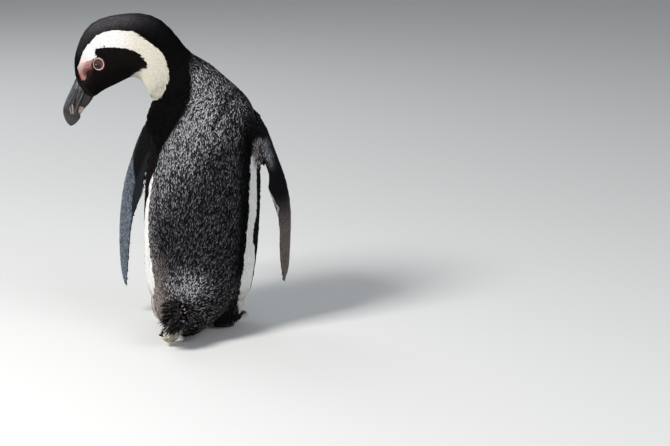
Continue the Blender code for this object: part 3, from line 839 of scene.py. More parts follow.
def lay_bands(at, body, tip):
    """Lays the white of the belly, flanks, breast and cheek and the black horseshoe in it."""
    along, ragged = at.along, (at.luck - 0.5) * RAGGED

    def flank_line(lines):
        return np.where(at.swung > 0, line_at(lines[1], along), line_at(lines[-1], along))

    dark = at.round_trunk + ragged > flank_line(HORSESHOE_BACK)
    dark &= (at.round_trunk - ragged < flank_line(HORSESHOE_BELLY)) & (along < 6.9)
    spots = (at.luck > SPOT_LUCK) & (at.round_trunk > 104) & (along > 1.5) & (along < 6)
    white = at.round_trunk + ragged > flank_line(STRIPE_BACK)
    white &= (along < 7.9) & ~dark & ~spots
    white |= inside(WHITE_BAND, along, at.round_head) & (along > 6.9)
    pale = pale_feathers(at)
    body[white], tip[white] = pale[white] * 0.94, pale[white]
    body[dark] = VELVET * 1.5
    tip[dark] = (SOOT * 1.8 * (0.7 + at.luck)[:, None])[dark]
    return white


# %% The face
SEAM = [(11, 21), (16, 16.8), (21.5, 11)]  # the dark line along the top of the bare skin
DOT = (-28.8, 2.9)  # a single black feather in the white of the left cheek


def lay_face(at, white, body, tip):
    """The sooty mask, the bare skin in it and the thin line between the skin and the crown."""
    ahead, up = at.ahead, at.up
    mask = at.on_head & ~white & (at.round_head > 70)
    body[mask] = SOOT * 0.75
    tip[mask] = (SOOT * (0.9 + 0.9 * at.luck)[:, None])[mask]
    near_face = dent(ahead, up, (5, 5.5), (20, 5), 6) * mask * at.luck**1.5
    body, tip = blend(body, FLUSHED, 0.5 * near_face), blend(tip, FLUSHED, 0.9 * near_face)
    side = at.on_head & (np.abs(at.left) > 8)
    bare = inside(BARE_FACE, at.along, at.round_head) & side
    body[bare] = tip[bare] = bare_skin(ahead, up)[bare]
    seam = np.max([dent(ahead, up, *ends, 1.1) for ends in zip(SEAM, SEAM[1:])], axis=0)
    body[side & (seam > 0.25)] = tip[side & (seam > 0.25)] = MAROON
    dot = side & (at.left > 0) & (np.hypot(ahead - DOT[0], up - DOT[1]) < 1.0)
    body[dot] = tip[dot] = SOOT
    return body, tip


# %% The tail's coverts and the legs
TUFT_MIDDLE, TUFT_SIZES = (5, 106, 9), (12, 22, 15)


def lay_tail(at, body, tip):
    """Coverts speckled dark above, and a cream tuft under the tail."""
    to_left, to_back, height = at.bird.T
    tail = belongs(at.parts, "tail") | ((to_back > 92) & (height < 50))
    dark = tail & (at.luck < 0.55) & (to_left > -14)
    body[dark], tip[dark] = SOOT, SOOT * 2
    tuft = (((at.bird - TUFT_MIDDLE) / TUFT_SIZES) ** 2).sum(1) < 1
    body[tuft], tip[tuft] = CREAM * 0.8, CREAM * 0.95


def lay_legs(at, body, tip):
    """Dark feathers behind and inside, white ones in front and down the outer side."""
    to_left, to_back, height = at.bird.T
    for name, outer_side in (("leg_left", 1), ("leg_right", -1)):
        leg = belongs(at.parts, name)
        behind = leg & (to_back > 6) & (to_left * outer_side < 44)
        dark = (behind | (leg & (height < 17))) & (at.luck > 0.04)
        if name == "leg_left":
            body[behind] = DUSTY * 0.6
            tip[behind] = (DUSTY * (0.6 + 0.7 * at.luck)[:, None])[behind]
            dark = leg & (height < 8)
        body[dark] = SOOT * 1.2
        tip[dark] = (SOOT * (1.5 + 2.5 * at.luck)[:, None])[dark]


# %% The whole coat's colours
def plumage(points, parts, luck):
    """The colours of the feathers' bodies and of their tips, all markings laid."""
    at = places_of(points, parts, luck)
    body, tip = soil(at, *colour_back(at))
    white = lay_bands(at, body, tip)
    body, tip = wear_joint(at, body, tip)
    body, tip = lay_face(at, white, body, tip)
    lay_tail(at, body, tip)
    for name in FLIPPER_LINES:
        blade = belongs(parts, name)
        if blade.any():
            body[blade], tip[blade] = colour_flipper(name, points[blade], luck[blade])
    lay_legs(at, body, tip)
    return np.clip(body, DARKEST, 1), np.clip(tip, DARKEST, 1)


# %% Colour the skin
SEED = 1969  # the same number gives the same coat in every run
rng = np.random.default_rng(SEED)
skin_parts = part_of(points_of(skin))
skin_colour, _ = plumage(points_of(skin), skin_parts, rng.random(len(skin_parts)) * 0.9)


def paint(piece, name, colours):
    """Stores a colour for each vertex under a name that a material can read."""
    layer = piece.data.color_attributes.new(name, "FLOAT_COLOR", "POINT")
    with_alpha = np.column_stack([colours, np.ones(len(colours))])
    layer.data.foreach_set("color", with_alpha.astype(np.float32).ravel())


skin_colour[belongs(skin_parts, "foot_left", "foot_right")] = FOOT_BLACK
paint(skin, "coat", skin_colour)
print("skin coloured, mean", skin_colour.mean(0).round(3))

# %% [markdown]
# ## One feather
# A body feather of a penguin is a short stiff vane with a rounded end and a raised shaft. It starts
# as a three-sided cylinder lying down, whose two end caps are fans round a point: the ridge is the
# shaft, and the points become the root and the tip. One cut across gives it a third ring, and each
# ring is scaled to the feather's width there. Kept this simple, it can be copied tens of thousands
# of times. The tail's quills will be drawn out the same way, so the steps are a function.

# %% Model the feather
def draw_out(name, sides, flatten, rings, least_height):
    """A vane one unit long. rings has, for each ring of the cylinder, its width and its place."""
    deselect()
    bpy.ops.mesh.primitive_cylinder_add(
        vertices=sides, radius=1, depth=1, end_fill_type="TRIFAN", rotation=(math.pi / 2, 0, 0)
    )
    vane = bpy.context.active_object
    vane.name = name
    bpy.ops.object.transform_apply(location=False, rotation=True, scale=False)
    for cut in list(rings)[1:-1]:
        pick(vane)
        bpy.ops.mesh.bisect(plane_co=(0, cut, 0), plane_no=(0, 1, 0))
    pick(vane)
    bpy.ops.transform.resize(value=flatten)
    # a moved ring goes well ASIDE, so that no later step picks it again
    for ring, (width, place) in rings.items():
        pick(vane, lambda co: abs(co.y - ring) < 0.01 and abs(co.x) + abs(co.z) > 0.1)
        height = least_height + (1 - least_height) * width
        bpy.ops.transform.resize(value=(width, 1, height), center_override=(0, ring, 0))
        bpy.ops.transform.translate(value=(0, place - ring + ASIDE, 0))
    for end, place in ((-0.5, 0.0), (0.5, 1.0)):
        pick(vane, lambda co: abs(co.y - end) < 0.01)
        bpy.ops.transform.translate(value=(0, place - end + ASIDE, 0))
    pick(vane)
    bpy.ops.transform.translate(value=(0, -ASIDE, 0))
    turn_outwards(vane)
    return vane


ASIDE = 10
FEATHER_RINGS = {-0.5: (0.58, 0.26), 0.02: (1.0, 0.6), 0.5: (0.76, 0.86)}
feather = draw_out("feather_pattern", 3, (1.15, 1, 0.62), FEATHER_RINGS, 0.5)
feather_points = points_of(feather)
print("feather:", triangles(feather), "triangles, size", np.ptp(feather_points, axis=0).round(2))

# %% [markdown]
# ## Where the feathers grow
# Feathers sit at even distances, a little irregular. Throwing far too many points at the skin and
# taking out, round each one that stays, all that are too near gives just that. The distance is
# largest on the belly, smaller on the back and smallest on the face, as on the bird.

# %% Feather size on each region
def tract(points, parts):
    """The distance between feathers, their length and half width, and how steeply they stand."""
    along, around, _ = on_body(points)
    below = smooth_step(95, 110, np.abs(around)) * smooth_step(8.5, 7.5, along)
    stations = (0, 6, 9, 12, 14, 16, 19)
    spacing = np.interp(along, stations, (1.4, 1.4, 1.42, 1.42, 1.32, 1.15, 1.05)) + 1.25 * below
    length = np.interp(along, stations, (6.2, 6.1, 6.0, 5.2, 4.2, 3.0, 2.1)) + 2.0 * below
    width = np.interp(along, stations, (0.83, 0.83, 0.84, 0.86, 0.84, 0.74, 0.66)) + 0.7 * below
    lift = np.interp(along, (0, 7, 9, 14, 19), (12, 11, 8, 6.5, 6.5))
    for names, values in (
        (("leg_left", "leg_right"), (2.1, 6.2, 1.25, 12)),
        (("flipper_left", "flipper_right"), (1.7, 3.2, 1.05, 6)),
        (("tail",), (2.4, 10, 1.6, 14)),
    ):
        chosen = belongs(parts, *names)
        for array, value in zip((spacing, length, width, lift), values):
            array[chosen] = value
    return spacing * MM, length * MM, width * MM, np.radians(lift)


# %% Throw the roots
THROWS_PER_PLACE = 7
skin.data.calc_loop_triangles()
corner = rows_of(skin.data.loop_triangles, "vertices", int)
corner_loop = rows_of(skin.data.loop_triangles, "loops", int)
skin_points, skin_normals = points_of(skin), normals_of(skin)
triangle_part = skin_parts[corner[:, 0]]
a, b, c = (skin_points[corner[:, k]] for k in range(3))
triangle_area = np.linalg.norm(np.cross(b - a, c - a), axis=1) / 2
triangle_spacing = tract(a, triangle_part)[0]
triangle_share = triangle_area / triangle_spacing**2
triangle_share[belongs(triangle_part, "foot_left", "foot_right")] = 0
expected = triangle_share.sum()
thrown = int(expected * THROWS_PER_PLACE)
hit = rng.choice(len(triangle_share), thrown, p=triangle_share / expected)
first, second = rng.random(thrown), rng.random(thrown)
flip = first + second > 1
first[flip], second[flip] = 1 - first[flip], 1 - second[flip]
weights = np.column_stack([1 - first - second, first, second])[:, :, None]
root_points = (skin_points[corner[hit]] * weights).sum(1)
root_normals = unit((skin_normals[corner[hit]] * weights).sum(1))
root_uv = (skin_uv[corner_loop[hit]] * weights).sum(1)
root_parts = triangle_part[hit]
root_spacing = triangle_spacing[hit]
print("thrown:", thrown)

# %% Thin them out
NEAREST = 0.86  # how near two roots may be, as a share of the distance wanted
root_tree = KDTree(thrown)
for index, point in enumerate(root_points):
    root_tree.insert(point, index)
root_tree.balance()
alive = np.ones(thrown, bool)
kept = []
for index in range(thrown):
    if alive[index]:
        kept.append(index)
        for _, near, _ in root_tree.find_range(root_points[index], root_spacing[index] * NEAREST):
            alive[near] = False
kept = np.array(kept)
root_points, root_normals, root_uv = root_points[kept], root_normals[kept], root_uv[kept]
root_parts = root_parts[kept]
print("kept:", len(kept))

# %% [markdown]
# The bare face, the ring round the eye and the base of the bill carry no feathers.

# %% Leave the bare places bare
RING_PLACE = (-5.6, -0.5)  # the middle of the ring round the eye, ahead and up
# The ring's two axes, ahead and up.
LID_WIDE, LID_TALL = np.array((-0.42, -0.91)), np.array((-0.91, 0.41))
# Where the feathers end at the bill: millimetres up, and ahead there.
FEATHERS_END = [(-16, 35), (-8.7, 34), (-1.5, 30), (3.7, 26.5), (6, 23.5), (9.7, 24), (17, 23)]


def from_ring(ahead, up, wide=0.95, tall=1.04):
    """How far each place is from the ring's middle, on ovals of the ring's own form."""
    off = np.column_stack([ahead, up]) - RING_PLACE
    return np.hypot(off @ LID_WIDE / wide, off @ LID_TALL / tall)


root_along, root_around, root_forward = on_body(root_points)
root_bird = (root_points - ORIGIN) / MM
ahead, up, left = in_head(root_points)
# the feathers in front of the ring point at it, so they stay farther away
near_ring = (from_ring(ahead, up) < 7.7) | (from_ring(ahead - 2.2, up) < 7.9)
bare = near_ring & (np.abs(left) > 15) & (root_along > 13)
bare |= inside(BARE_FACE, root_along, np.abs(root_around)) & (root_along > 14)
bare |= (ahead > line_at(FEATHERS_END, up)) & (root_along > 14)
for name in FLIPPER_LINES:
    chosen = belongs(root_parts, name)
    bare[chosen] |= on_flipper(root_points[chosen], name)[0] < 0.12
bare |= (root_bird[:, 2] < 9) & belongs(root_parts, "leg_left", "leg_right")
root_points, root_normals, root_uv, root_parts = (
    rows[~bare] for rows in (root_points, root_normals, root_uv, root_parts)
)
root_along, root_around, root_forward, root_bird = (
    rows[~bare] for rows in (root_along, root_around, root_forward, root_bird)
)
print("feathers:", len(root_points))

# %% [markdown]
# ## The lie of the coat
# Feathers point away from the bill: down the neck and the body, over the rump towards the tail,
# down the legs, and along the flippers to their tips. Each one is turned a little at random.

# %% Which way each feather points
lie = -root_forward
on_trunk = belongs(root_parts, "trunk")
TAIL_START, TAIL_END = (-10, 40, 33), (2, 132, 40)
to_tail = unit(placed(TAIL_END) - root_points)
rump_share = smooth_step(8, 55, root_bird[:, 1]) * on_trunk
lie = lie * (1 - rump_share)[:, None] + to_tail * rump_share[:, None]
for name in FLIPPER_LINES:
    chosen = belongs(root_parts, name)
    lie[chosen] = on_flipper(root_points[chosen], name)[2]
lie[belongs(root_parts, "leg_left", "leg_right")] = (0, 0, -1)
chosen = belongs(root_parts, "tail")
lie[chosen] = unit(root_points[chosen] - placed(TAIL_START))
lie = unit(lie - root_normals * (lie * root_normals).sum(1)[:, None])
unruly = np.where(on_trunk & (root_along < 8.5), 13, 7)  # degrees
turn = (rng.normal(0, 1, len(lie)) * np.radians(unruly))[:, None]
sideways = np.cross(lie, root_normals)
lie = unit(lie * np.cos(turn) + sideways * np.sin(turn))
sideways = np.cross(lie, root_normals)

# %% [markdown]
# ## Laying the coat
# Each copy of the feather is stretched to its place's length and width, tipped up by its lift and
# bent back down towards its tip so that it hugs the body. Its body and tip colours both come from
# the map at a place seven tenths of its length out from the root, so that borders come out ragged,
# as between real feathers.

# %% Bend, tilt and colour every feather
PATCH = 0.003  # the size of a feather's patch on the flat picture
CLOSE_LYING = 0.42  # how steep a white feather stands, as a share of a dark one
luck = rng.random(len(lie))
_, root_length, root_width, root_lift = tract(root_points, root_parts)
root_length = root_length * rng.uniform(0.85, 1.15, len(lie))
root_width = root_width * rng.uniform(0.88, 1.12, len(lie))
root_lift = root_lift * rng.uniform(0.7, 1.3, len(lie))
sample = root_points + lie * (root_length * 0.7)[:, None]
body_colour, tip_colour = plumage(sample, root_parts, luck)
root_lift = np.where(body_colour.mean(1) > 0.4, CLOSE_LYING, 1.0) * root_lift
# the feathers of the right shoulder are short and lie flat
on_joint = np.exp(-((np.linalg.norm(root_bird - SHOULDER_BUMP, axis=1) / 16) ** 2))
root_lift = root_lift * (1 - 0.9 * on_joint)
root_length = root_length * (1 - 0.3 * on_joint)
x, y, z = feather_points.T
rise = np.sin(root_lift)[:, None] * (1.35 * y - 0.35 * y**2)[None, :] - 0.04 * (y**2)[None, :]
reach = root_length[:, None] * y[None, :] * np.cos(root_lift)[:, None]
height = root_length[:, None] * rise + root_width[:, None] * (0.42 * z - 0.1 * x**2)[None, :]
across = root_width[:, None] * x[None, :]
coat_points = (
    root_points[:, None, :]
    + lie[:, None, :] * reach[..., None]
    + root_normals[:, None, :] * height[..., None]
    + sideways[:, None, :] * across[..., None]
)
coat_points[..., 2] = np.maximum(coat_points[..., 2], 0.3 * MM)
on_ridge = np.abs(x) < 0.1
# the tip's colour runs up the shaft in a thin streak
very_tip, by_tip, on_shaft = (y > 0.95) | ((y > 0.8) & on_ridge), y > 0.8, (y > 0.55) & on_ridge
tip_share = np.select([very_tip, by_tip, on_shaft], [1.0, 0.18, 0.6], 0.0)[None, :, None]
coat_colours = body_colour[:, None, :] * (1 - tip_share) + tip_colour[:, None, :] * tip_share
coat_uv = root_uv[:, None, :] + PATCH * np.stack([x * 0.5, y - 0.5], axis=1)[None, :, :]
print("coat:", coat_points.shape[0] * triangles(feather), "triangles")


# %% Make pieces of the copies
def copies_mesh(name, pattern, points, colours, patches, vane):
    """One mesh with a copy of the pattern at every set of points, and their colours and maps."""
    count, per = points.shape[:2]
    corners = np.array([v for face in pattern.data.polygons for v in face.vertices])
    sizes = np.array([len(face.vertices) for face in pattern.data.polygons])
    new = bpy.data.meshes.new(name)
    new.vertices.add(count * per)
    new.vertices.foreach_set("co", points.reshape(-1).astype(np.float32))
    loops = (corners[None, :] + (np.arange(count) * per)[:, None]).ravel()
    new.loops.add(len(loops))
    new.loops.foreach_set("vertex_index", loops.astype(np.int32))
    all_sizes = np.tile(sizes, count)
    new.polygons.add(len(all_sizes))
    new.polygons.foreach_set("loop_start", (np.cumsum(all_sizes) - all_sizes).astype(np.int32))
    new.update(calc_edges=True)
    new.validate()
    maps = {"OFBake": patches.reshape(-1, 2), "Vane": np.tile(vane, (count, 1))}
    for layer_name, flat in maps.items():
        layer = new.uv_layers.new(name=layer_name)
        layer.data.foreach_set("uv", flat[loops].astype(np.float32).ravel())
    new.shade_smooth()
    piece = bpy.data.objects.new(name, new)
    bpy.context.scene.collection.objects.link(piece)
    paint(piece, "coat", colours.reshape(-1, 3))
    return piece


vane_places = np.column_stack([x * 0.5 + 0.5, y])
on_blade = belongs(root_parts, *FLIPPER_LINES)
swung = (root_around + TRUNK_TURN + 180) % 360 - 180
back_side, left_side = np.abs(swung) < 90, swung > 0
low = ~on_blade & (root_along < 4.2)
middle = ~on_blade & (root_along >= 4.2) & (root_along < 8.5)
REGIONS = {
    "coat_flipper_left": belongs(root_parts, "flipper_left"),
    "coat_flipper_right": belongs(root_parts, "flipper_right"),
    "coat_head": ~on_blade & (root_along >= 13.0),
    "coat_neck": ~on_blade & (root_along >= 8.5) & (root_along < 13.0),
    "coat_shoulder_left": middle & back_side & left_side,
    "coat_shoulder_right": middle & back_side & ~left_side,
    "coat_breast": middle & ~back_side,
    "coat_back_left": low & back_side & left_side,
    "coat_back_right": low & back_side & ~left_side,
    "coat_belly": low & ~back_side,
}
coat = {}
for name, chosen in REGIONS.items():
    coat[name] = copies_mesh(
        name, feather, coat_points[chosen], coat_colours[chosen], coat_uv[chosen], vane_places
    )
    print(name, chosen.sum(), "feathers,", triangles(coat[name]), "triangles")
bpy.data.objects.remove(feather)

# %% [markdown]
# ## The finish of the coat
# A feather's colour is stored on its vertices. What the material adds is what no vertex can hold: a
# fine mottle, the comb of barbs on each side of the shaft, and a dull gloss. The mottle is used by
# several finishes, so it is a node group with its own inputs.

# %% The mottle, shared by all finishes
def add_node(tree, kind, **inputs):
    """Adds a node and sets its input sockets by name."""
    made = tree.nodes.new(kind)
    for name, value in inputs.items():
        made.inputs[name.replace("_", " ")].default_value = value
    return made


def start_group(name, inputs, outputs):
    """A node group with named number inputs, given with their first values, and named outputs."""
    tree = bpy.data.node_groups.new(name, "ShaderNodeTree")
    for socket, value in inputs.items():
        made = tree.interface.new_socket(socket, in_out="INPUT", socket_type="NodeSocketFloat")
        made.default_value = value
    for socket, kind in outputs.items():
        tree.interface.new_socket(socket, in_out="OUTPUT", socket_type=kind)
    return tree, tree.nodes.new("NodeGroupInput"), tree.nodes.new("NodeGroupOutput")


def one_and(tree, operation, socket):
    """The number one, and plus, minus or divided by what a socket gives."""
    made = tree.nodes.new("ShaderNodeMath")
    made.operation = operation
    made.inputs[0].default_value = 1.0
    tree.links.new(socket, made.inputs[1])
    return made.outputs[0]


def noise_of_size(tree, entry, detail, roughness=0.5):
    """Noise on the object's own place, as coarse as the group's Size says, in metres."""
    place = tree.nodes.new("ShaderNodeTexCoord")
    noise = add_node(tree, "ShaderNodeTexNoise", Detail=detail, Roughness=roughness)
    tree.links.new(place.outputs["Object"], noise.inputs["Vector"])
    tree.links.new(one_and(tree, "DIVIDE", entry.outputs["Size"]), noise.inputs["Scale"])
    return noise.outputs["Fac"]


def make_mottle():
    """Makes a colour lighter and darker in soft patches, by up to Strength."""
    tree, entry, exit_ = start_group(
        "mottle", {"Size": 0.01, "Strength": 0.2}, {"Color": "NodeSocketColor"}
    )
    tree.interface.new_socket("Color", in_out="INPUT", socket_type="NodeSocketColor")
    spread = tree.nodes.new("ShaderNodeMapRange")
    spread.inputs["From Min"].default_value, spread.inputs["From Max"].default_value = 0.3, 0.7
    strength = entry.outputs["Strength"]
    tree.links.new(noise_of_size(tree, entry, 4.0, 0.6), spread.inputs["Value"])
    tree.links.new(one_and(tree, "SUBTRACT", strength), spread.inputs["To Min"])
    tree.links.new(one_and(tree, "ADD", strength), spread.inputs["To Max"])
    tint = tree.nodes.new("ShaderNodeVectorMath")
    tint.operation = "SCALE"
    tree.links.new(entry.outputs["Color"], tint.inputs[0])
    tree.links.new(spread.outputs["Result"], tint.inputs["Scale"])
    tree.links.new(tint.outputs["Vector"], exit_.inputs["Color"])
    return tree


def make_grain():
    """A fine roughness of horn and skin, for a Bump node."""
    tree, entry, exit_ = start_group("grain", {"Size": 0.0015}, {"Height": "NodeSocketFloat"})
    tree.links.new(noise_of_size(tree, entry, 3.0), exit_.inputs["Height"])
    return tree


MOTTLE, GRAIN = make_mottle(), make_grain()


def start_finish(name, roughness):
    """A new material with its own shader, ready for a colour."""
    finish = bpy.data.materials.new(name)
    finish.use_nodes = True
    tree = finish.node_tree
    shader = tree.nodes["Principled BSDF"]
    shader.inputs["Roughness"].default_value = roughness
    return finish, tree, shader


def mottled(tree, shader, size, strength):
    """Puts the mottle before a shader's colour. The group's own colour is still to be given."""
    group = tree.nodes.new("ShaderNodeGroup")
    group.node_tree = MOTTLE
    group.inputs["Size"].default_value = size
    group.inputs["Strength"].default_value = strength
    tree.links.new(group.outputs["Color"], shader.inputs["Base Color"])
    return group.inputs["Color"]


def painted_finish(name, layer, roughness, gloss, size, strength):
    """A finish whose colour is painted on the piece's points, with the mottle over it."""
    finish, tree, shader = start_finish(name, roughness)
    colour = tree.nodes.new("ShaderNodeAttribute")
    colour.attribute_name = layer
    tree.links.new(colour.outputs["Color"], mottled(tree, shader, size, strength))
    shader.inputs["Specular IOR Level"].default_value = gloss
    return finish, tree, shader


def bumped(tree, shader, height, strength, depth):
    """Lets a height, read by a Bump node, bend a material's normals."""
    bump = add_node(tree, "ShaderNodeBump", Strength=strength, Distance=depth)
    tree.links.new(height, bump.inputs["Height"])
    tree.links.new(bump.outputs["Normal"], shader.inputs["Normal"])


def grained(tree, shader, size, strength, depth):
    """Puts the fine grain on a material's normals."""
    group = tree.nodes.new("ShaderNodeGroup")
    group.node_tree = GRAIN
    group.inputs["Size"].default_value = size
    bumped(tree, shader, group.outputs["Height"], strength, depth)


# %% The feathers' finish
def make_coat_finish(name, roughness, gloss):
    """The barbs are thin slanting lines on each vane's own map."""
    finish, tree, shader = painted_finish(name, "coat", roughness, gloss, 0.0022, 0.12)
    vane = tree.nodes.new("ShaderNodeUVMap")
    vane.uv_map = "Vane"
    barbs = add_node(tree, "ShaderNodeTexWave", Scale=5.0, Distortion=1.5, Detail=2.0)
    barbs.bands_direction = "DIAGONAL"
    tree.links.new(vane.outputs["UV"], barbs.inputs["Vector"])
    bumped(tree, shader, barbs.outputs["Fac"], 0.25, 0.0003)
    return finish


COAT_FINISH = make_coat_finish("plumage", 0.6, 0.02)
FLIPPER_FINISH = make_coat_finish("flipper_plumage", 0.5, 0.06)
for name, piece in coat.items():
    of_flipper = "flipper" in name
    piece.data.materials.append(FLIPPER_FINISH if of_flipper else COAT_FINISH)
    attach(piece, "root")

# %% [markdown]
# Where the skin shows, on the face and the feet, it is leathery: small scutes, each a cell of a
# Voronoi texture whose distance to the cell's middle is read as a height.

# %% The skin's finish
skin_finish, tree, shader = painted_finish("skin_under_coat", "coat", 0.62, 0.07, 0.003, 0.25)
place = tree.nodes.new("ShaderNodeTexCoord")
scutes = add_node(tree, "ShaderNodeTexVoronoi", Scale=420.0)
tree.links.new(place.outputs["Object"], scutes.inputs["Vector"])
bumped(tree, shader, scutes.outputs["Distance"], 0.5, 0.0006)
skin.data.materials.append(skin_finish)
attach(skin, "root")
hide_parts(*FLESH)

# %% [markdown]
# ## The tail
# The tail is a round brush of stiff narrow quills that the bird props itself on. One quill is drawn
# out from a cylinder like the feather, longer and more pointed, and copied in a fan whose quills
# all spread from one place inside the rump.

# %% Model a quill
QUILL_RINGS = {
    -0.5: (0.3, 0.04), -0.25: (0.7, 0.3), 0.0: (1.0, 0.55), 0.25: (0.95, 0.78), 0.5: (0.55, 0.94)
}
quill = draw_out("quill_pattern", 6, (1, 1, 0.3), QUILL_RINGS, 0.4)
quill_points = points_of(quill)
print("quill:", triangles(quill), "triangles")

# %% Spread the quills
ROWS, PER_ROW = 12, 11
QUILLS_MEET, QUILLS_MIDDLE = np.array((-5, 58, 36)), np.array((-1, 101, 38))
BRUSH_WIDE, BRUSH_TALL = 9.5, 13  # half sizes of the brush at its base
LOWEST, FARTHEST = 1.5, 145.5  # millimetres up and back that no quill passes
x, y, z = quill_points.T
quills = []
for row in range(ROWS):
    for column in range(PER_ROW):
        u = (column + 0.5 * (row % 2) + 0.25) / PER_ROW * 2 - 1 + rng.uniform(-0.08, 0.08)
        v = (row + 0.5) / ROWS * 2 - 1 + rng.uniform(-0.08, 0.08)
        if u * u + v * v > 1.05:
            continue
        base = QUILLS_MIDDLE + (u * BRUSH_WIDE, -8 * (u * u + v * v), v * BRUSH_TALL)
        ahead = unit(base - QUILLS_MEET + rng.normal(0, 3, 3))
        length = 32 + 9 * (1 - u * u - v * v) + rng.uniform(-7, 4)
        end = base + ahead * length
        if end[2] < LOWEST:
            length *= (base[2] - LOWEST) / max(base[2] - end[2], 0.1)
        end = base + ahead * length
        if end[1] > FARTHEST:
            length *= (FARTHEST - base[1]) / (end[1] - base[1])
        wide = unit(np.cross(ahead, (u * 0.8 + rng.uniform(-0.5, 0.5), 0, 1)))
        thick = np.cross(wide, ahead)
        bend = rng.uniform(-0.09, 0.02) * length
        breadth = rng.uniform(1.1, 2.2)
        quills.append(
            base
            + np.outer(y * length, ahead)
            + np.outer(x * breadth, wide)
            + np.outer(z * 1.4 + bend * y**2, thick)
        )
quills = placed(np.array(quills))
quills[..., 2] = np.maximum(quills[..., 2], 0.4 * MM)

# %% [markdown]
# Most quills are a dark brown with a paler shaft. A few at the bottom are as pale as the tuft
# there.

# %% Colour the quills and make them a piece
QUILL_BROWN = np.array((0.013, 0.0105, 0.010))
quill_luck = rng.random(len(quills))
sideways, _, upwards = ((quills - ORIGIN) / MM).mean(1).T
pale_quill = 0.85 * smooth_step(20, 13, upwards) * smooth_step(15, 11, sideways)
pale_quill = (pale_quill * smooth_step(-8, -4, sideways))[:, None, None]
dark_quill = QUILL_BROWN * (0.5 + 1.5 * quill_luck)[:, None, None]
shaft = 1 + 1.5 * (z > 0.2)[None, :, None]
quill_colours = dark_quill * shaft * (1 - pale_quill) + CREAM * 0.8 * pale_quill
at_rump = root_uv[belongs(root_parts, "tail")]
quill_roots = at_rump[rng.integers(len(at_rump), size=len(quills))]
quill_patches = quill_roots[:, None, :] + PATCH * np.column_stack([x * 0.5, y - 0.5])
vane_places = np.column_stack([x * 0.5 + 0.5, y])
tail = copies_mesh("tail_quills", quill, quills, quill_colours, quill_patches, vane_places)
bpy.data.objects.remove(quill)
tail.data.materials.append(make_coat_finish("tail_quill", 0.4, 0.45))
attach(tail, "root")
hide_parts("tail")
print("tail:", len(quills), "quills,", triangles(tail), "triangles")

# %% [markdown]
# ## The bill
# The bill is horn: a deep ridge-backed upper half that hooks over the lower one, with a slit for
# the nostril and fine long streaks. The CAD halves have the right masses, so each is copied,
# remeshed finely and then shaped by moving its points in the head's own directions: ahead, up and
# to the side. Grooves and ridges are lines on its side, pushed in or out.

# %% The profile of each half, in the head's own measure
# Millimetres ahead of the head's middle, then the lower and the upper edge there.
BILL_PROFILES = {
    "bill_upper": [
        (20, 0.9, 17.9), (31, 0.6, 17.2), (41, 0.2, 17.3), (50, -0.1, 17.5), (57, -0.5, 17.4),
        (62, -1.9, 17.0), (64, -4.8, 16.7), (66, -6.8, 16.2), (68, -7.1, 15.6), (72, -6.2, 13.8),
        (75.5, -4.9, 10.9), (78, -3.5, 8.2), (79.8, -2.2, 5.6), (81, -0.6, 2.4),
    ],
    "bill_lower": [
        (20, -13.5, 1.4), (27, -13, 1.2), (32, -12.4, 0.9), (36, -11.8, 0.8), (40, -11.2, 0.6),
        (48, -9.6, 0.2), (52, -8.1, 0.0), (56, -7.0, -0.3), (60, -6.4, -1.0), (63, -5.7, -2.4),
        (65, -4.6, -3.4),
    ],
}
BILL_START = 30  # millimetres ahead of the head's middle
HORN_CUBE = 0.55 * MM


def fit_profile(ahead, up, profile):
    """Moves the points of a half so that its side outline follows the profile."""
    rows = np.array(profile)
    start, end = np.percentile(ahead, 0.1), ahead.max()
    front = rows[-1, 0]
    stretch = (front - BILL_START) / (end - BILL_START)
    ahead = np.where(ahead > BILL_START, BILL_START + (ahead - BILL_START) * stretch, ahead)
    slices = np.arange(max(start, rows[0, 0]), front - 0.3, 0.7)
    near = [np.abs(ahead - place) < 0.8 for place in slices]
    now_low = np.interp(ahead, slices, [up[chosen].min() for chosen in near])
    now_high = np.interp(ahead, slices, [up[chosen].max() for chosen in near])
    new_low, new_high = (np.interp(ahead, rows[:, 0], rows[:, column]) for column in (1, 2))
    share = (up - now_low) / np.maximum(now_high - now_low, 0.8)
    return ahead, new_low + share * (new_high - new_low)


# %% Remesh and shape both halves
# How deep each groove is (minus for a ridge), then its start, its end and its half width.
BILL_GROOVES = {
    "bill_upper": [
        (1.3, (47.5, 7.2), (57, 5.2), 1.1),  # the nostril
        (0.5, (22, 10.5), (48, 7.2), 1.5),
        (0.45, (54, 5.9), (66, 1.6), 1.4),
        (0.3, (24, 3.6), (56, 2.2), 1.2),
        (-0.5, (24, 1.4), (62, 0.4), 1.6),
    ],
    "bill_lower": [(0.4, (26, -5), (58, -3.6), 1.4), (-0.3, (26, -1.4), (62, -1.9), 1.2)],
}
bill = {}
for node in ("bill_upper", "bill_lower"):
    half = welded_copy(node, node + "_horn")
    apply_modifier(half, "REMESH", mode="VOXEL", voxel_size=HORN_CUBE, adaptivity=0.0)
    apply_modifier(half, "SMOOTH", factor=0.5, iterations=8)
    ahead, up, left = in_head(points_of(half))
    ahead, up = fit_profile(ahead, up, BILL_PROFILES[node])
    side = np.sign(left) * smooth_step(0.5, 2.5, np.abs(left))
    if node == "bill_upper":
        left = left * (1 + 0.3 * smooth_step(66, 76, ahead))
    for depth, start, end, half_width in BILL_GROOVES[node]:
        left = left - side * depth * dent(ahead, up, start, end, half_width)
    move_points(half, from_head_measure(ahead, up, left))
    apply_modifier(half, "SMOOTH", factor=0.5, iterations=2)
    shade_smooth(half)
    bill[node] = half
    print(half.name, triangles(half), "triangles")

# %% [markdown]
# Horn is streaked lengthwise, because it grows forward from the base. The dark grey is paler in a
# streak before the tip and in a patch at the end of the lower half.

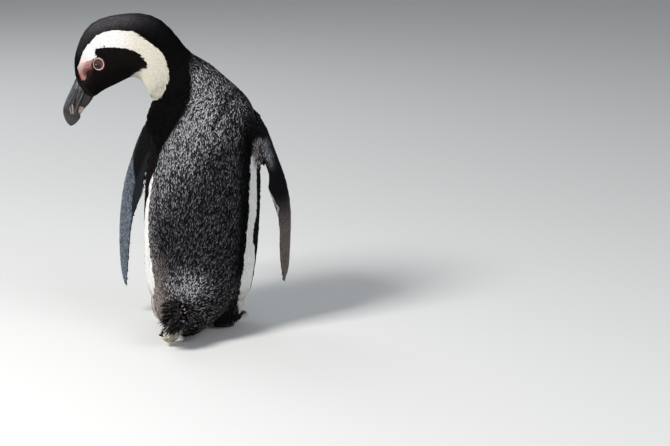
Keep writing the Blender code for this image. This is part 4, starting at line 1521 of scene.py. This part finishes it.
# %% Colour the horn
HORN = np.array((0.0165, 0.0155, 0.0165))
HORN_PALE = np.array((0.30, 0.245, 0.20))
HORN_PINK = np.array((0.50, 0.36, 0.31))
HORN_TIP = np.array((0.040, 0.043, 0.044))
HORN_RIDGE_HIGHLIGHT = np.array((0.062, 0.070, 0.084))
NOSTRIL = ((47, 7.3), (57.5, 5.1), 1.3)
horn_finish, tree, shader = painted_finish("horn", "horn_colour", 0.42, 0.28, 0.0025, 0.3)
grained(tree, shader, 0.0014, 0.35, 0.0004)
for half_name, half in bill.items():
    ahead, up, _ = in_head(points_of(half))
    wander = 0.9 * np.sin(ahead * 0.19 + up * 0.5) + 0.5 * np.sin(ahead * 0.43 + 2)
    streak = np.sin(up * 3.3 + wander) * np.sin(up * 1.45 - 0.06 * ahead + 1)
    streak = streak + 0.35 * np.sin(up * 6.1 + 2 * wander)
    streak = np.clip(0.5 + 0.6 * streak, 0, 1.2)
    fade = smooth_step(24, 38, ahead) * smooth_step(70, 60, ahead)
    colours = HORN * (0.6 + 1.5 * streak * (0.4 + 0.9 * fade))[:, None]
    colours = blend(colours, HORN_PALE, 0.5 * np.clip(streak - 0.82, 0, 1) * 2.2 * fade)
    if half_name == "bill_upper":
        worn = 1.2 * dent(ahead, up, (56, 7.6), (65, 3.0), 1.6)
        worn = worn + dent(ahead, up, (60, 9.5), (66, 5), 1.1)
        colours = blend(colours, HORN * 0.4, smooth_step(30, 24, ahead) * 0.8)
        colours = blend(colours, HORN_PALE, np.clip(worn, 0, 1) * 0.85)
        # painted shade: the nostril's slit is darkened
        colours = blend(colours, HORN * 0.2, np.clip(1.5 * dent(ahead, up, *NOSTRIL), 0, 1))
        colours = blend(colours, HORN_TIP, 0.75 * smooth_step(65, 73, ahead))
        # painted highlight: the upper half's ridge is a paler blue grey where it catches the light
        ridge = smooth_step(11.5, 15.5, up) * smooth_step(68, 58, ahead)
        ridge = ridge * smooth_step(27, 36, ahead)
        colours = blend(colours, HORN_RIDGE_HIGHLIGHT, 0.7 * ridge)
    else:
        patch = smooth_step(52, 55, ahead) * smooth_step(64, 60, ahead)
        colours = blend(colours, HORN_PINK, patch * 0.9)
    paint(half, "horn_colour", np.clip(colours, 0.002, 1))
    half.data.materials.append(horn_finish)
    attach(half, "root")
    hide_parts(half_name)

# %% [markdown]
# ## The eyes and their lids
# The eye lies in a thick pale ring of bare skin, a little wider than high, and the opening sits
# nearer the bill than the ring does. The ring is drawn from a circle, extruded inwards step by step
# as a potter turns a rim, and laid onto the side of the head. The eyeball, a wet dark ball with a
# brown iris, then goes behind the opening, so that just its front shows.

# %% The lids
LID_PALE, LID_DEEP = np.array((0.62, 0.46, 0.42)), np.array((0.085, 0.026, 0.023))
LID_EDGE = np.array((0.014, 0.009, 0.008))
lid_finish, tree, shader = painted_finish("eyelid", "lid", 0.5, 0.5, 0.001, 0.2)
grained(tree, shader, 0.0008, 0.3, 0.0003)
shader.inputs["Subsurface Weight"].default_value = 0.06
# The rim's steps: distance from its middle and height over the head.
LID_STEPS = [
    (8.1, -1.0), (7.8, 0.1), (7.4, 0.8), (6.7, 1.05), (6.0, 0.75), (5.5, 0.2), (5.0, -0.05),
    (4.4, 0.1), (4.0, 0.05), (3.7, -0.5), (3.5, -1.5),
]
OPENING_SHIFT = np.array((3.5, 0.2))
MELTS_AT = math.radians(125)  # where the rim melts into the bare face, at its front upper side
skin_faces = [face.vertices for face in skin.data.polygons]
skin_tree = BVHTree.FromPolygons([v.co for v in skin.data.vertices], skin_faces)


def side_height(ahead, up, side):
    """How far out to the side the skin of the head lies at a place ahead and up."""
    start = Vector(from_head_measure([ahead], [up], [side * 45.0])[0])
    hit_place = skin_tree.ray_cast(start, Vector(HEAD_LEFT) * -side)[0]
    return in_head(np.array(hit_place)[None])[2][0] * side


def bowl(ahead, up):
    """The terms of a smooth bowl over places ahead and up."""
    a, u = np.asarray(ahead, float) - RING_PLACE[0], np.asarray(up, float) - RING_PLACE[1]
    return np.column_stack([np.ones_like(a), a, u, a * a, a * u, u * u])


openings = {}
for side, name in ((1, "eyelid_left"), (-1, "eyelid_right")):
    angles = np.radians(np.arange(0, 360, 20))
    around_ring = [
        (RING_PLACE[0] + r * math.cos(t), RING_PLACE[1] + r * math.sin(t))
        for r in (8.5, 10.5)
        for t in angles
    ]
    heights = [side_height(a, u, side) for a, u in around_ring]
    terms, *_ = np.linalg.lstsq(bowl(*zip(*around_ring)), np.array(heights), rcond=None)
    # the skin sinks behind the lid, so that it does not cover the rim
    points = points_of(skin)
    ahead, up, left = in_head(points)
    behind_lid = smooth_step(8.4, 7.2, from_ring(ahead, up, wide=0.9)) * (left * side > 9)
    too_far = np.maximum(left * side - (bowl(ahead, up) @ terms - 1.2), 0)
    left = left - side * too_far * behind_lid
    points[behind_lid > 0] = from_head_measure(ahead, up, left)[behind_lid > 0]
    move_points(skin, points)
    deselect()
    rim, height = LID_STEPS[0]
    bpy.ops.mesh.primitive_circle_add(vertices=72, radius=rim * MM, location=(0, 0, height * MM))
    lid = bpy.context.active_object
    lid.name = name
    bpy.ops.object.transform_apply(location=True, rotation=False, scale=False)
    choose(lid)
    bpy.ops.object.mode_set(mode="EDIT")
    bpy.ops.mesh.select_all(action="SELECT")
    for (r0, z0), (r1, z1) in zip(LID_STEPS, LID_STEPS[1:]):
        bpy.ops.mesh.extrude_edges_move(TRANSFORM_OT_translate={"value": (0, 0, (z1 - z0) * MM)})
        bpy.ops.transform.resize(value=(r1 / r0, r1 / r0, 1))
    bpy.ops.object.mode_set(mode="OBJECT")
    x, y, z = (points_of(lid) / MM).T
    r = np.hypot(x, y)
    angle = np.arctan2(y, x)
    inner = smooth_step(6.2, 3.7, r)
    knobs = 1 + 0.02 * np.sin(angle * 9 + 1) + 0.012 * np.sin(angle * 19)
    wide = x * knobs * (0.9 + 0.1 * inner)
    tall = y * knobs * (1.04 - 0.22 * inner)
    ahead = RING_PLACE[0] + OPENING_SHIFT[0] * inner + wide * LID_WIDE[0] + tall * LID_TALL[0]
    up = RING_PLACE[1] + OPENING_SHIFT[1] * inner + wide * LID_WIDE[1] + tall * LID_TALL[1]
    melts = np.exp(-((((angle - MELTS_AT + math.pi) % (2 * math.pi) - math.pi) / 0.7) ** 2))
    height = z * (1 - 0.3 * melts * (z > 0)) + 0.5 * np.clip(np.sin(angle), 0, 1)
    left = (bowl(ahead, up) @ terms + height) * side
    move_points(lid, from_head_measure(ahead, up, left))
    lid_colour = blend(LID_PALE, LID_DEEP, smooth_step(6.6, 6.0, r))
    lid_colour = blend(lid_colour, LID_EDGE, smooth_step(4.3, 3.8, r))
    paint(lid, "lid", lid_colour)
    turn_outwards(lid)
    apply_modifier(lid, "SOLIDIFY", thickness=0.3 * MM, offset=-1.0)
    apply_modifier(lid, "SUBSURF", levels=1, render_levels=1)
    shade_smooth(lid)
    lid.data.materials.append(lid_finish)
    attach(lid, "root")
    openings[side] = (ahead[r < 3.9].mean(), up[r < 3.9].mean(), (left[r < 4.2] * side).max())
    opening = [round(float(v), 1) for v in openings[side]]
    print(name, triangles(lid), "triangles, opening at", opening)

# %% The eyeballs
EYE_RADIUS, EYE_PROUD = 5.2, 0.7  # its radius, and how far its front stands over the opening's rim
PUPIL, IRIS_BROWN, EYE_DARK = (0.003, 0.003, 0.003), (0.030, 0.011, 0.006), (0.010, 0.006, 0.005)
eye_finish, tree, shader = painted_finish("eye_wet", "iris", 0.08, 0.3, 0.0012, 0.25)
shader.inputs["Coat Weight"].default_value = 0.3
shader.inputs["Coat Roughness"].default_value = 0.03
for side, eye_node in ((1, "eye_left"), (-1, "eye_right")):
    deselect()
    bpy.ops.mesh.primitive_uv_sphere_add(segments=48, ring_count=32, radius=EYE_RADIUS * MM)
    eye = bpy.context.active_object
    eye.name = eye_node + "_ball"
    pick(eye, lambda co: co.z > EYE_RADIUS * MM * 0.9)
    bpy.ops.transform.resize(value=(1, 1, 1.04))
    bpy.ops.object.mode_set(mode="OBJECT")
    x, y, z = (points_of(eye) / MM).T
    from_axis, front = np.hypot(x, y), z > 0
    iris = np.where((from_axis < 1.7)[:, None], PUPIL, IRIS_BROWN)
    iris = np.where((from_axis > 3.4)[:, None] | ~front[:, None], EYE_DARK, iris)
    paint(eye, "iris", iris)
    ahead, up, rim = openings[side]
    out = (rim + EYE_PROUD - EYE_RADIUS + z) * side
    move_points(eye, from_head_measure(ahead + x, up + y, out))
    turn_outwards(eye)
    shade_smooth(eye)
    eye.data.materials.append(eye_finish)
    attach(eye, "root")
    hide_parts(eye_node)

# %% [markdown]
# ## The claws
# The claws keep their CAD shape. Only their finish is new: dark horn with a fine mottle and grain.

# %% The claws' finish
claw_finish, tree, shader = start_finish("claw_horn", 0.36)
mottled(tree, shader, 0.002, 0.5).default_value = (0.024, 0.020, 0.018, 1)
grained(tree, shader, 0.0011, 0.35, 0.0003)
for name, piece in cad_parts.items():
    if name.startswith("claw"):
        piece.data.materials.clear()
        piece.data.materials.append(claw_finish)

# %% [markdown]
# ## Floor, light and camera
# A museum model is shown on a plain pale floor under soft light. The key light is a large soft
# panel high on the left of the view, where it glances over the back, and two weaker ones fill the
# shade. The camera looks from behind and a little above, from far enough away that the head isn't
# drawn too large.

# %% The floor
deselect()
bpy.ops.mesh.primitive_plane_add(size=12, location=(0, 0, 0))
floor = bpy.context.active_object
floor.name = "studio_floor"
floor_finish, tree, shader = start_finish("studio_floor", 0.8)
shader.inputs["Base Color"].default_value = (0.62, 0.62, 0.61, 1)
floor.data.materials.append(floor_finish)

# %% The camera
AZIMUTH, ELEVATION = math.radians(192), math.radians(12)
CAMERA_DISTANCE, FIELD_WIDTH, SENSOR_WIDTH = 3.5, 0.804, 36
AIM_RIGHT, AIM_UP = 0.162, 0.1224  # metres from the bird's own middle, in the view
UP = Vector((0, 0, 1))
level_away = Vector((math.sin(AZIMUTH), -math.cos(AZIMUTH), 0))
away = level_away * math.cos(ELEVATION) + UP * math.sin(ELEVATION)
right = UP.cross(away).normalized()
aim = Vector(ORIGIN) + right * AIM_RIGHT + away.cross(right) * AIM_UP
bpy.ops.object.camera_add(location=aim + away * CAMERA_DISTANCE)
camera = bpy.context.active_object
camera.rotation_euler = away.to_track_quat("Z", "Y").to_euler()
camera.data.sensor_width = SENSOR_WIDTH
camera.data.lens = SENSOR_WIDTH * CAMERA_DISTANCE / FIELD_WIDTH
bpy.context.scene.camera = camera

# %% The lights
def panel(name, direction, distance, size, power, colour):
    """A square lamp that faces the bird. direction is right, up and towards the camera."""
    way = (right * direction[0] + UP * direction[1] + away * direction[2]).normalized()
    bpy.ops.object.light_add(type="AREA", location=BIRD_MIDDLE + way * distance)
    lamp = bpy.context.active_object
    lamp.name = name
    lamp.rotation_euler = way.to_track_quat("Z", "Y").to_euler()
    lamp.data.size, lamp.data.energy, lamp.data.color = size, power, colour


BIRD_MIDDLE = Vector((0, 0, 0.18))
panel("key_light", (-0.9, 1.0, 0.7), 2.2, 0.7, 68, (1.0, 0.98, 0.96))
panel("fill_light", (1.0, 0.5, 0.9), 2.6, 1.6, 27, (0.94, 0.97, 1.0))
panel("back_light", (-0.5, 0.9, -1.0), 2.4, 1.2, 14, (0.94, 0.97, 1.0))
world = bpy.data.worlds.new("studio")
bpy.context.scene.world = world
world.use_nodes = True
sky = world.node_tree.nodes["Background"]
sky.inputs["Color"].default_value, sky.inputs["Strength"].default_value = (0.78, 0.83, 0.9, 1), 0.3
bpy.context.scene.view_settings.view_transform = "Standard"
